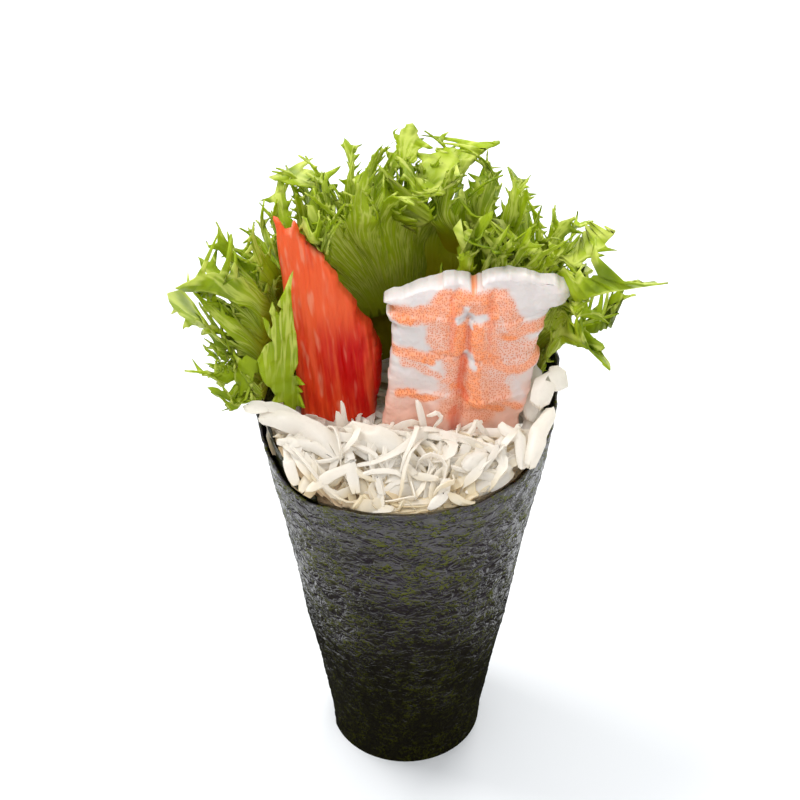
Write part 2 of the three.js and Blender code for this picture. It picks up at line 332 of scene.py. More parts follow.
class Finish:
    """One material and the nodes in it."""

    def __init__(self, name):
        self.material = bpy.data.materials.new(name)
        self.material.use_nodes = True
        self.tree = self.material.node_tree
        self.tree.nodes.clear()

    def add(self, kind, settings=None, inputs=None):
        """Adds a node: its settings by name, and its inputs by name or number."""
        node = self.tree.nodes.new(kind)
        for key, value in (settings or {}).items():
            setattr(node, key, value)
        for key, value in (inputs or {}).items():
            if isinstance(value, Shade):
                self.tree.links.new(value.socket, node.inputs[key])
            else:
                node.inputs[key].default_value = value
        return Added(self, node)

    def place(self, source="Object", scale=(1.0, 1.0, 1.0), turn=(0.0, 0.0, 0.0)):
        """Coordinates to read a pattern at; Object ones are in metres."""
        if source == "UV":
            where = self.add("ShaderNodeUVMap", {"uv_map": "UVMap"}).out("UV")
        else:
            where = self.add("ShaderNodeTexCoord").out(source)
        return self.add("ShaderNodeMapping", {}, {"Vector": where, "Scale": scale, "Rotation": turn}).out(0)

    def value(self, name):
        """A number that was stored at each point."""
        return self.add("ShaderNodeAttribute", {"attribute_name": name}).out("Fac")

    def coordinate(self, where, axis):
        return self.add("ShaderNodeSeparateXYZ", {}, {0: where}).out(axis)

    def dot(self, first, second):
        settings = {"operation": "DOT_PRODUCT"}
        return self.add("ShaderNodeVectorMath", settings, {0: first, 1: second}).out("Value")

    def noise(self, where, scale, detail=2.0, roughness=0.5, distortion=0.0):
        """Soft noise; its scale is for metres, or for decimetres where it is read from the UV map."""
        inputs = {"Vector": where, "Scale": scale, "Detail": detail}
        inputs.update({"Roughness": roughness, "Distortion": distortion})
        return self.add("ShaderNodeTexNoise", {}, inputs).out("Fac")

    def cells(self, where, scale, randomness=1.0):
        """How far each place of a flat pattern is from its nearest dot."""
        inputs = {"Vector": where, "Scale": scale, "Randomness": randomness}
        return self.add("ShaderNodeTexVoronoi", {"voronoi_dimensions": "2D"}, inputs).out("Distance")

    def fit(self, value, low, high, to_low=0.0, to_high=1.0):
        """Stretches a value from low..high to to_low..to_high, and clamps it."""
        settings = {"interpolation_type": "SMOOTHSTEP", "clamp": True}
        inputs = {"Value": value, "From Min": low, "From Max": high, "To Min": to_low, "To Max": to_high}
        return self.add("ShaderNodeMapRange", settings, inputs).out(0)

    def blend(self, share, first, second):
        """Mixes two colours."""
        inputs = {0: share, 6: first, 7: second}
        return self.add("ShaderNodeMix", {"data_type": "RGBA"}, inputs).out(2)

    def bump(self, height, distance, strength=1.0):
        """The normal over a height of 0 to 1 that stands for a distance in metres."""
        inputs = {"Height": height, "Distance": distance, "Strength": strength}
        return self.add("ShaderNodeBump", {}, inputs).out(0)

    def shader(self, **inputs):
        """A principled shader, its sockets by name with underscores for spaces."""
        named = {key.replace("_", " "): value for key, value in inputs.items()}
        return self.add("ShaderNodeBsdfPrincipled", {}, named).out(0)

    def end(self, shader):
        self.add("ShaderNodeOutputMaterial", {}, {"Surface": shader})
        return self.material

    def surface(self, through=None, share=0.0, **inputs):
        """Ends the material: its shader's sockets by name, and what shines through a thin sheet."""
        shader = self.shader(**inputs)
        if through is not None:
            glow = self.add("ShaderNodeBsdfTranslucent", {}, {"Color": through}).out(0)
            shader = self.add("ShaderNodeMixShader", {}, {0: share, 1: shader, 2: glow}).out(0)
        return self.end(shader)


def rgb(red, green, blue):
    """A colour with its alpha."""
    return (red, green, blue, 1.0)


# ---- lettuce -----------------------------------------------------------------------------------
def lettuce_finish(colours):
    finish = Finish("lettuce_frill")
    rise = finish.value("rise")
    where = finish.place()
    streaks = finish.noise(finish.place("UV", (1.0, 0.05, 1.0)), 120.0, 3.0, 0.6)
    lines = finish.noise(finish.place("UV", (1.0, 0.12, 1.0)), 70.0, 2.0, 0.55, 0.3) - 0.5
    lines = finish.fit(lines.size(), 0.0, 0.075, 1.0, 0.0)
    veins = lines * finish.value("veined")
    blotches = finish.noise(where, 160.0, 2.0)
    blisters = finish.noise(where, 900.0, 2.0)
    high = finish.fit(rise, 0.5, 0.9)
    normal = finish.bump(streaks * high * 0.5 + blisters * 0.35 + veins * 0.5, 0.00025, 0.8)
    from_axis = finish.place(scale=(1.0, 1.0, 0.0))
    back = finish.fit(finish.dot(normal, from_axis), -0.002, 0.002)
    heart = finish.blend(back, colours.leaf_heart, colours.leaf_back)
    green = finish.blend(finish.fit(rise, 0.5, 0.95), heart, colours.leaf)
    dark = finish.fit(blotches + streaks * 0.6, 0.65, 1.1) * back
    green = finish.blend(dark * 0.5, green, colours.leaf_deep)
    green = finish.blend(lines * back * 0.4, green, colours.leaf_vein)
    patchy = finish.fit(blotches, 0.4, 0.75) * finish.fit(rise, 0.6, 1.0) * finish.value("patchy")
    green = finish.blend(patchy, green, colours.leaf_deep)
    green = finish.blend(finish.fit(streaks, 0.5, 0.72) * high * 0.25, green, colours.leaf_vein)
    green = finish.blend(veins * 0.7, green, colours.leaf_vein)
    return finish.surface(
        through=green,
        share=0.36,
        Base_Color=green,
        Roughness=finish.fit(blisters, 0.3, 0.7, 0.34, 0.5),
        Specular_IOR_Level=0.28,
        Normal=normal,
    )


# Spacing of a leaf's points, how much its notches drop at the two ends, how far up its gathers are worked
# out as a share of the blade, and in how many steps up and along the edge.
LEAF_GRAIN, LEAF_DROOP, LEAF_REACH = 0.9, 0.2, 1.45
STEPS_UP, STEPS_ALONG = 60, 1600
THORN_SPACING = 3.6
# Lobes curl from a little below their notches: radians for each length past there, up to a limit.
CURL_BELOW, CURL_LENGTH, MOST_CURL = 1.5, 8.5, 2.2


class Leaf:
    """A frilly leaf. base(across, up) is its smooth shape: across 0 to 1 from side to side, up 0 at the
    foot and 1 where the lobes start. blade is its height up to there, margin the true length of its
    gathered edge, and length that of a middling lobe. folds and frills count its large and small waves."""

    def __init__(
        self, name, node, base, blade, margin, folds, frills, lobes, length, seed, fold_heading=1.4,
        frill_heading=1.2, curl=1.0, curl_bias=0.0, ruffle_from=0.6, frill_from=0.78, veins_from=0.7,
        paleness=0.0, patchiness=0.9,
    ):
        self.name, self.node, self.base = name, node, base
        self.blade, self.margin, self.length = blade, margin, length
        self.folds, self.frills, self.lobes = folds, frills, lobes
        self.fold_heading, self.frill_heading = fold_heading, frill_heading
        self.curl, self.curl_bias = curl, curl_bias
        self.ruffle_from, self.frill_from = ruffle_from, frill_from
        self.veins_from, self.paleness, self.patchiness = veins_from, paleness, patchiness
        self.seed, self.draw = seed, random.Random(seed)

    # the outline, flat: x runs along the gathered edge, y from the foot to the tips
    def lobe(self, left, width, foot, length):
        """Points of one lobe with curved thorns, from its left notch to its right one."""
        draw = self.draw
        half = width / 2
        lean = draw.uniform(-0.15, 0.15) * half
        thorns = max(2, round(length / THORN_SPACING + draw.uniform(-0.6, 0.6)))
        fat = draw.uniform(0.55, 0.85)

        def point(side, spread, up):
            return (left + half + lean * up + side * half * spread, foot + length * up)

        def body(up):
            return fat * (1.0 - up) ** 0.95 + 0.03

        sides = []
        for side in (-1, 1):
            points = []
            for thorn in range(thorns):
                up = 0.1 + 0.74 * (thorn + draw.uniform(0.1, 0.7)) / thorns
                rise = draw.uniform(0.07, 0.17)
                tip = min(body(up) + draw.uniform(0.22, 0.5) * (1.0 - 0.35 * up), 0.97 - 0.25 * up)
                points.append(point(side, body(up - 0.05) * 0.84, up - 0.05))
                points.append(point(side, mix(body(up), tip, 0.6), up + rise * 0.35))
                points.append(point(side, tip, up + rise))
                points.append(point(side, mix(body(up + 0.07), tip, 0.35), up + rise * 0.55))
                points.append(point(side, body(up + 0.07) * 0.8, up + 0.07))
            sides.append(points)
        return sides[0] + [point(0, 0.0, 1.0)] + sides[1][::-1], (left + half, lean, length)

    def foot_line(self, x):
        """Height of the notches along the edge."""
        arch = np.sin(np.pi * np.clip(x / self.margin, 0.0, 1.0))
        return self.blade * (1.0 - LEAF_DROOP * (1.0 - arch) ** 3)

    def outline(self):
        """The closed outline, anticlockwise, and the centre line of each lobe."""
        draw = self.draw
        sizes = [draw.uniform(0.6, 1.35) for _ in range(self.lobes)]
        total = sum(sizes)
        points = [(0.0, 0.0)]
        centres = []
        left = 0.0
        for index, size in enumerate(sizes):
            width = size / total * self.margin
            edge = mix(0.55, 1.0, math.sin(math.pi * (index + 0.5) / self.lobes) ** 0.5)
            length = self.length * mix(0.75, 1.2, draw.random()) * size**0.5 * edge
            foot = self.foot_line(left + width / 2)
            lobe, centre = self.lobe(left, width, foot, length)
            notch = draw.choice((0.0, 1.0, 2.0, 4.5)) * draw.uniform(0.6, 1.2)
            points.append((left + 0.03 * width, foot - notch))
            points.extend(lobe)
            centres.append(centre)
            left += width
        points.append((self.margin - 0.1, self.foot_line(left) - 1.0))
        points.append((self.margin, 0.0))
        return points[::-1], centres

    def triangles(self):
        """Points, triangles and the rib strength of the flat leaf, and the centre line of each lobe."""
        outline, centres = self.outline()
        closed = []
        for (x0, y0), (x1, y1) in zip(outline, outline[1:] + outline[:1]):
            at_edge = y0 > 1 and y1 > 1
            spacing = LEAF_GRAIN * (0.8 if at_edge else 3.0)
            count = max(1, round(math.hypot(x1 - x0, y1 - y0) / spacing))
            nibble = 0.16 if at_edge else 0.0
            for i in range(count):
                jump = self.draw.uniform(-nibble, nibble) if i else 0.0
                closed.append((mix(x0, x1, i / count) + jump, mix(y0, y1, i / count) + jump))
        ribs = []
        step = LEAF_GRAIN * 0.8
        for middle, lean, length in centres:
            foot = self.foot_line(middle)
            for i in range(int((self.blade * 0.5 + length * 0.9) / step)):
                y = foot + length * 0.9 - i * step
                ribs.append((middle + lean * max(0.0, (y - foot) / length), y))
        fill = []
        y = 0.6
        while y < self.blade + self.length * 1.3:
            spacing = LEAF_GRAIN * (3.2 - 2.2 * min(1.0, y / (self.blade * 0.7)))
            count = int(self.margin / spacing)
            for i in range(count):
                x = (i + 0.5 + self.draw.uniform(-0.3, 0.3)) * self.margin / count
                fill.append((x, y + self.draw.uniform(-0.25, 0.25) * spacing))
            y += spacing * 0.87
        return *fill_outline(closed, ribs, fill), centres

    # the gathers
    def tables(self):
        """Share of the way across and height of the folds, by place up the leaf and along its edge."""
        edge = np.linspace(0.0, self.margin, STEPS_ALONG)
        step = edge[1] - edge[0]
        phase = 2 * np.pi * (edge / self.margin)
        draw = random.Random(self.seed + 1)

        def uneven(most, counts):
            waves = (draw.uniform(-most, most) * np.sin(phase * k + draw.uniform(0, 6.3)) for k in counts)
            return sum(waves)

        fold_drift = uneven(0.6, (1, 2, 3, 5))
        loud = 1.0 + 0.22 * np.sin(phase * 4 + draw.uniform(0, 6.3))
        frill_drift = uneven(1.0, (3, 5, 8, 11))
        shares, heights = [], []
        for up in np.linspace(0.0, LEAF_REACH, STEPS_UP):
            fold = self.fold_heading * ease(up, self.ruffle_from, 1.05) * loud
            frill = self.frill_heading * ease(up, self.frill_from, 1.1)
            heading = fold * np.sin(self.folds * phase + fold_drift)
            heading = heading + frill * np.sin(self.frills * phase + frill_drift)
            forward = np.concatenate([[0.0], np.cumsum(np.cos(heading))[:-1]]) * step
            sideways = np.concatenate([[0.0], np.cumsum(np.sin(heading))[:-1]]) * step
            sideways -= np.linspace(sideways[0], sideways[-1], len(edge))
            shares.append(forward / forward[-1])
            probe = self.base(np.linspace(0, 1, STEPS_UP), np.full(STEPS_UP, min(up, 1.0)))
            arc = np.linalg.norm(np.diff(probe, axis=0), axis=1).sum()
            heights.append(sideways * arc / forward[-1])
        return np.array(shares), np.array(heights)

    def look_up(self, table, x, up):
        """A table's value at places along the edge and up the leaf."""
        columns = table.shape[1] - 1
        rows = table.shape[0] - 1
        fx = np.clip(x / self.margin, 0, 1) * columns
        fy = np.clip(up / LEAF_REACH, 0, 1) * rows
        ix, iy = np.minimum(fx.astype(int), columns - 1), np.minimum(fy.astype(int), rows - 1)
        rx, ry = fx - ix, fy - iy
        low = mix(table[iy, ix], table[iy, ix + 1], rx)
        high = mix(table[iy + 1, ix], table[iy + 1, ix + 1], rx)
        return mix(low, high, ry)

    def build(self, finish, thick):
        """Gathers the flat leaf onto its smooth shape, and gives its lobes their own curl and twist."""
        flat, faces, rib, centres = self.triangles()
        x, y = flat.T
        shares, heights = self.tables()
        draw = random.Random(self.seed + 2)
        bends, twists, sways = (np.array([draw.uniform(-1.0, 1.0) for _ in centres]) for _ in range(3))
        centre_x = np.array([middle for middle, _, _ in centres])
        lobe = np.clip(np.searchsorted(centre_x, x), 1, len(centres) - 1) - 1
        onward = ease((x - centre_x[lobe]) / (centre_x[lobe + 1] - centre_x[lobe]), 0.35, 0.65)

        def by_lobe(values):
            return mix(values[lobe], values[lobe + 1], onward)

        # each lobe curls over its own way past its notch
        foot = self.foot_line(x)
        past = np.maximum(0.0, y - foot + CURL_BELOW)
        angle = by_lobe((bends + self.curl_bias) * self.curl) * past / CURL_LENGTH
        angle = np.clip(angle, -MOST_CURL, MOST_CURL)
        curled = np.abs(angle) > 1e-4
        radius = np.where(curled, past / np.where(curled, angle, 1.0), 0.0)
        flat_run = np.where(curled, radius * np.sin(angle), past)
        curl_rise = np.where(curled, radius * (1.0 - np.cos(angle)), 0.0)
        up = (np.minimum(y, foot - CURL_BELOW) + flat_run) / self.blade
        across = self.look_up(shares, x, up)

        # directions on the smooth shape, then on the sheet where it is folded
        small = 1e-3
        here = self.base(across, up)
        left, right = np.clip(across - small, 0, 1), np.clip(across + small, 0, 1)
        side = unit(self.base(right, up) - self.base(left, up))
        climb = unit(self.base(across, up + small) - self.base(across, up - small))
        out = unit(np.cross(side, climb))
        reach = self.look_up(np.gradient(heights, axis=1), x, up)
        forward = self.look_up(np.gradient(shares, axis=1), x, up)
        ahead = np.minimum(across + small, 1)
        arc = np.linalg.norm(self.base(ahead, up) - self.base(ahead - small, up), axis=1) / small
        own_side, own = turned(side, out, np.arctan2(reach, forward * arc))

        # folds, curl, twist, sway and ribs
        twist = by_lobe(twists) * np.clip((y - foot) / self.length, 0, 1.3)
        off = np.where(onward < 0.5, x - centre_x[lobe], x - centre_x[lobe + 1])
        points = here + out * self.look_up(heights, x, up)[:, None] + own * curl_rise[:, None]
        points += own * (off * np.sin(twist))[:, None] - own_side * (off * (1 - np.cos(twist)))[:, None]
        sway = by_lobe(sways) * past**2 / 26.0
        points += own_side * sway[:, None] + own * (rib * 0.15)[:, None]
        points += out * (rough(points, 5.0, 2, self.seed) * 0.35)[:, None]
        leaf_piece(self, low_at_back(behind_toppings(points)), faces, flat, thick, finish)


def leaf_piece(leaf, points, faces, flat, thick, finish):
    """The mesh of a leaf, with what its finish reads."""
    piece = from_faces(leaf.name, points, faces)
    keep_place(piece, flat[:, 0], flat[:, 1])
    rise = flat[:, 1] / leaf.blade
    store(piece, "rise", mix(leaf.paleness, 1.0, rise))
    store(piece, "veined", ease(rise, leaf.veins_from, leaf.veins_from + 0.22))
    store(piece, "patchy", ease(rise, 0.5, 1.1) * leaf.patchiness)
    modify(piece, "SOLIDIFY", thickness=thick * MM, offset=0.0)
    finished(piece, leaf.node, finish)


def behind_toppings(points):
    """Moves lettuce that would poke through the crab or the shrimp to just behind it."""
    x, y, z = points.T
    rise = z - FRONT_RIM
    run = rise * math.hypot(1.0, SHRIMP_LEAN)
    shrimp_back = SHRIMP_BASE + rise * SHRIMP_LEAN + SHRIMP_THICK
    shrimp_there = ease(x, -6.5, -3.5) * ease(x, 29.0, 26.0) * ease(run, 33.0, 29.5)
    crab_back = CRAB_BASE + rise * CRAB_LEAN + mix(CRAB_THICK, CRAB_TIP, ease(run, 0.0, 35.0))
    right = along(CRAB_RIGHT, run)
    crab_there = ease(x, -25.0, -23.0) * ease(x, right + 2.5, right + 0.5) * ease(run, 39.0, 36.0)
    gap = 0.6 + 0.25 * np.sin(x * 2.1 + z)
    for back, there in ((shrimp_back, shrimp_there), (crab_back, crab_there)):
        y = y + np.maximum(0.0, back + gap - y) * there
    return np.stack([x, y, z], -1)


# Height and Y past which lettuce at the back is drawn in, and by what share.
HIGHEST, FARTHEST, DRAWN_IN = 109.0, 32.0, 0.4


def low_at_back(points):
    """Draws in the lobes that stand highest and farthest at the back."""
    x, y, z = points.T
    behind = ease(y, 20.0, 30.0)
    z = z - np.maximum(0.0, z - HIGHEST) * DRAWN_IN * behind
    y = y - np.maximum(0.0, y - FARTHEST) * DRAWN_IN
    return np.stack([x, y, z], -1)


# The large leaf's azimuths at its two sides, its foot, and the height at which it starts to flare.
CUP_START, CUP_END, CUP_FOOT, CUP_OPENS = 166.0, 15.0, 67.0, 87.5


def cup_leaf(across, up):
    """The large leaf: half a tube against the back of the wrap, flaring above the rim."""
    azimuth = mix(CUP_START, CUP_END, across)
    angle = np.radians(azimuth)
    notch = mix(92.0, 103.5, np.sin(angle) ** 0.9)
    height = mix(CUP_FOOT, notch, up)
    lining = FOOT_RADIUS + CONE_SLOPE * np.minimum(height, 80.0) - 1.9
    open_share = np.maximum(0.0, (height - CUP_OPENS) / (notch - CUP_OPENS))
    flare = (0.8 + 6.0 * np.abs(np.cos(angle)) ** 1.2) * open_share**1.4
    return polar(lining + flare, azimuth, height)


def cup_back(across, up):
    """A second ruffled margin just outside the large leaf's own, a little lower."""
    return cup_leaf(mix(0.03, 0.97, across), 0.5 + 0.5 * up) * (1.02, 1.02, 1.0) + (0.0, 0.4, 0.0)


def inner_leaf(start_at, end_at, radius, low, high, open_out):
    """A fold of the large leaf on the inner side of its cup, between two azimuths."""

    def base(across, up):
        azimuth = mix(start_at, end_at, across)
        height = mix(low, high, up)
        lean = open_out * 6.0 * np.clip(up, 0.0, 2.0) ** 2
        return polar(radius + lean + 0.0 * azimuth, azimuth, height)

    return base


def small_leaf(foot, margin, flare, notch):
    """A leaf between two lines of points, which opens out towards its margin. notch is how far up the
    lobes start, and flare how late it opens out."""

    def base(across, up):
        up = up * notch
        start_at = through(foot, across)
        end_at = through(margin, across)
        spread = np.clip(up, 0.0, 2.0)[:, None] ** flare
        made = mix(start_at, end_at, spread)
        made[:, 2] = mix(start_at[:, 2], end_at[:, 2], up)
        return made

    return base


# Foot and margin of each small leaf, in mm.
RIGHT_FOOT = [(5, 13, 70), (11, 12.5, 70), (16.5, 9, 70), (20.3, 4, 70)]
RIGHT_MARGIN = [
    (5.8, 11, 100), (10.8, 12, 107), (15.8, 12.5, 109.5), (22.7, 12, 107.5), (30, 10.5, 106), (36, 8, 103),
    (38, 5.5, 96), (29, 3.5, 90),
]
FAN_FOOT = [(-8, 18, 82), (-3, 20, 82), (4, 24.5, 80)]
FAN_MARGIN = [
    (-22, 10.5, 97), (-21, 13, 105), (-15, 16.5, 110), (-6.5, 19, 111), (1, 22, 109), (6, 27, 106),
]
LEFT_FOOT = [(-20.4, 8.2, 70), (-21.2, 5, 70), (-21.5, 1, 70), (-21.2, -2.5, 70)]
LEFT_MARGIN = [
    (-26.5, 9.5, 106), (-32, 10.5, 109), (-36.5, 7.5, 103), (-37, 4, 96), (-34, 0.5, 91.5),
    (-28.5, -1.5, 88.5),
]


def lettuce_leaves():
    """All the leaves but the narrow front one."""
    cup_fold = inner_leaf(152.0, 108.0, 21.3, 84.0, 103.0, 0.1)
    cup_fold_right = inner_leaf(62.0, 20.0, 21.0, 84.0, 99.0, 0.2)
    return (
        Leaf(
            "lettuce_cup", "lettuce_leaf", cup_leaf, blade=41.0, margin=200.0, folds=8, frills=15, lobes=31,
            length=12.5, seed=11, curl=0.75, fold_heading=1.15, frill_heading=0.9,
        ),
        Leaf(
            "lettuce_cup_ruffle", "lettuce_leaf", cup_back, blade=22.0, margin=170.0, folds=7, frills=14,
            lobes=26, length=11.5, seed=23, curl=0.9, fold_heading=1.2, frill_heading=0.9, ruffle_from=0.3,
            frill_from=0.6,
        ),
        Leaf(
            "lettuce_cup_fan", "lettuce_leaf", small_leaf(FAN_FOOT, FAN_MARGIN, 1.5, 0.85), blade=28.0,
            margin=76.0, folds=3, frills=7, lobes=12, length=10.5, seed=27, fold_heading=0.8,
            frill_heading=0.8, ruffle_from=0.5, frill_from=0.75, veins_from=0.15, paleness=0.8,
            patchiness=0.35,
        ),
        Leaf(
            "lettuce_cup_fold", "lettuce_leaf", cup_fold, blade=20.0, margin=60.0, folds=3, frills=6,
            lobes=9, length=11.0, seed=16, ruffle_from=0.3, frill_from=0.6,
        ),
        Leaf(
            "lettuce_cup_fold_right", "lettuce_leaf", cup_fold_right, blade=17.0, margin=75.0, folds=3,
            frills=8, lobes=11, length=10.0, seed=17, ruffle_from=0.3, frill_from=0.6,
        ),
        Leaf(
            "lettuce_right_frill", "lettuce_right", small_leaf(RIGHT_FOOT, RIGHT_MARGIN, 2.2, 0.78),
            blade=27.0, margin=130.0, folds=6, frills=14, lobes=19, length=10.5, seed=12, curl_bias=-0.25,
            fold_heading=1.2,
        ),
        Leaf(
            "lettuce_right_ruffle", "lettuce_right", small_leaf(RIGHT_FOOT, RIGHT_MARGIN, 1.9, 0.66),
            blade=24.0, margin=120.0, folds=5, frills=12, lobes=18, length=10.5, seed=18, curl_bias=-0.15,
            fold_heading=1.2,
        ),
        Leaf(
            "lettuce_left_frill", "lettuce_left", small_leaf(LEFT_FOOT, LEFT_MARGIN, 2.6, 0.78), blade=26.0,
            margin=95.0, folds=4, frills=11, lobes=15, length=9.5, seed=13,
        ),
        Leaf(
            "lettuce_left_ruffle", "lettuce_left", small_leaf(LEFT_FOOT, LEFT_MARGIN, 2.2, 0.68),
            blade=24.0, margin=90.0, folds=4, frills=10, lobes=14, length=9.5, seed=19,
        ),
    )


# Outline of the narrow front leaf as (X, height), anticlockwise from its lower right.
TONGUE = [
    (-19.5, 73), (-19, 80), (-17.5, 81.5), (-18.5, 83), (-17.8, 84.2), (-19, 84), (-17.4, 85.8),
    (-19.4, 85.6), (-18.6, 88.5), (-18.6, 91), (-19, 94.5), (-19.5, 98), (-19.6, 101), (-19, 104.8),
    (-20.5, 101.5), (-21.7, 99.6), (-21, 98.4), (-21.6, 97.4), (-22, 98.8), (-22.6, 100.4), (-23.1, 99),
    (-22.6, 95.8), (-23, 95.4), (-23.4, 96.8), (-24.2, 98), (-23.6, 95), (-22.7, 93), (-24, 92.7),
    (-25.1, 91.4), (-24.9, 88.2), (-23.6, 85), (-22.4, 82.8), (-23.4, 81.2), (-21, 81.6), (-20.8, 78),
    (-21.8, 73),
]
# Its Y at the height of the front rim, Y for each Z, thickness, the spacing of its edge points, and how
# many points are strewn to fill it.
TONGUE_BASE, TONGUE_LEAN, TONGUE_THICK, TONGUE_SPACING, TONGUE_POINTS = -4.5, 0.27, 0.4, 0.45, 2200


def front_tongue(finish):
    """The narrow leaf that stands in front of the crab stick's left edge."""
    outline = []
    for (x0, z0), (x1, z1) in zip(TONGUE, TONGUE[1:] + TONGUE[:1]):
        count = max(1, round(math.hypot(x1 - x0, z1 - z0) / TONGUE_SPACING))
        outline.extend((mix(x0, x1, i / count), mix(z0, z1, i / count)) for i in range(count))
    draw = random.Random(14)
    fill = [(draw.uniform(-26, -17), draw.uniform(73, 105)) for _ in range(TONGUE_POINTS)]
    flat, faces, _ = fill_outline(outline, fill)
    x, z = flat.T
    fold = 1.6 * np.exp(-(((x + 19.0) / 1.3) ** 2)) - 0.16 * (x + 21.0) ** 2
    waves = 0.9 * rough(np.stack([x, z, 0 * x], -1), 3.0, 2, 15.0)
    y = TONGUE_BASE + (z - FRONT_RIM) * TONGUE_LEAN + fold + waves
    piece = from_faces("lettuce_tongue", np.stack([x, y, z], -1), faces)
    keep_place(piece, x, z)
    store(piece, "rise", np.ones(len(x)))
    store(piece, "veined", ease(z, 84.0, 92.0))
    store(piece, "patchy", np.full(len(x), 0.5))
    modify(piece, "SOLIDIFY", thickness=TONGUE_THICK * MM, offset=0.0)
    finished(piece, "lettuce_front", finish)


# ---- nori --------------------------------------------------------------------------------------
def cone_radius(height):
    """Radius of the outer face of the wrap."""
    return FOOT_RADIUS + CONE_SLOPE * height + FOOT_FLARE * np.exp(-height / 2.0)


def crinkle(along_edge, height):
    """How far the nori stands out of its smooth cone, by place on the flat sheet."""
    flat = np.stack([along_edge, height, 0.0 * height], -1)
    wavy = np.stack([along_edge * 0.55 + height * 0.2, height * 1.7 - along_edge * 0.15, 0.0 * height], -1)
    creases = 1.0 - np.abs(rough(wavy, 3.2, 2, 3.0)) * 2.2
    grain = rough(flat * (1.0, 1.4, 1.0), 1.3, 2, 4.0)
    dents = rough(flat, 12.0, 1, 5.0)
    return 0.34 * dents + 0.17 * np.maximum(creases, -0.4) + 0.15 * grain


# How far the outer edge of the lap is pressed in.
PRESSED_IN = 0.85


def nori_point(across, up, depth):
    """Wound from the lap's outer edge round to its inner one, which dives under the outer one."""
    azimuth = mix(LAP_START, LAP_END, across)
    edge = np.radians(azimuth) * FLAT_RADIUS
    rim = along(RIM, azimuth) + 0.35 * rough(np.stack([edge, 0.0 * edge, 0.0 * edge], -1), 4.0, 2, 8.0)
    height = rim * up**1.15
    lap = LAP_INSET * ease(azimuth, LAP_DIVE, LAP_UNDER)
    out = crinkle(edge, height) * ease(height, 0.0, 2.0)
    pressed = PRESSED_IN * ease(-azimuth, 160.0, 178.0) * mix(1.0, 0.7, ease(height, 66.0, 78.0))
    radius = cone_radius(height) - 0.25 - lap + out - pressed
    return polar(radius - depth, azimuth, height)


def build_nori(finish, thick):
    """The wound sheet, and the disc that stands for its folded foot."""
    piece, flat = slab("nori_sheet", 380, 120, lambda across, up, side: nori_point(across, up, thick * side))
    points = read_points(piece) / MM
    azimuth = mix(LAP_START, LAP_END, flat[:, 0] + 0.5)
    keep_place(piece, np.radians(azimuth) * FLAT_RADIUS, points[:, 2])
    store(piece, "inside", wrap_inside(points))
    finished(piece, "nori_wrap", finish)
    foot = start("nori_foot", "cylinder", vertices=48, radius=(FOOT_RADIUS - 0.2) * MM, depth=0.8 * MM)
    write_points(foot, read_points(foot) + (0.0, 0.0, 0.4 * MM))
    store(foot, "inside", np.zeros(len(foot.data.vertices)))
    finished(foot, "nori_wrap", finish)


def wrap_inside(points):
    """1 on the inner face of the wrap, 0 on the outer one."""
    radius = np.hypot(points[:, 0], points[:, 1])
    return ease(cone_radius(points[:, 2]) - radius, 0.3, 0.9)


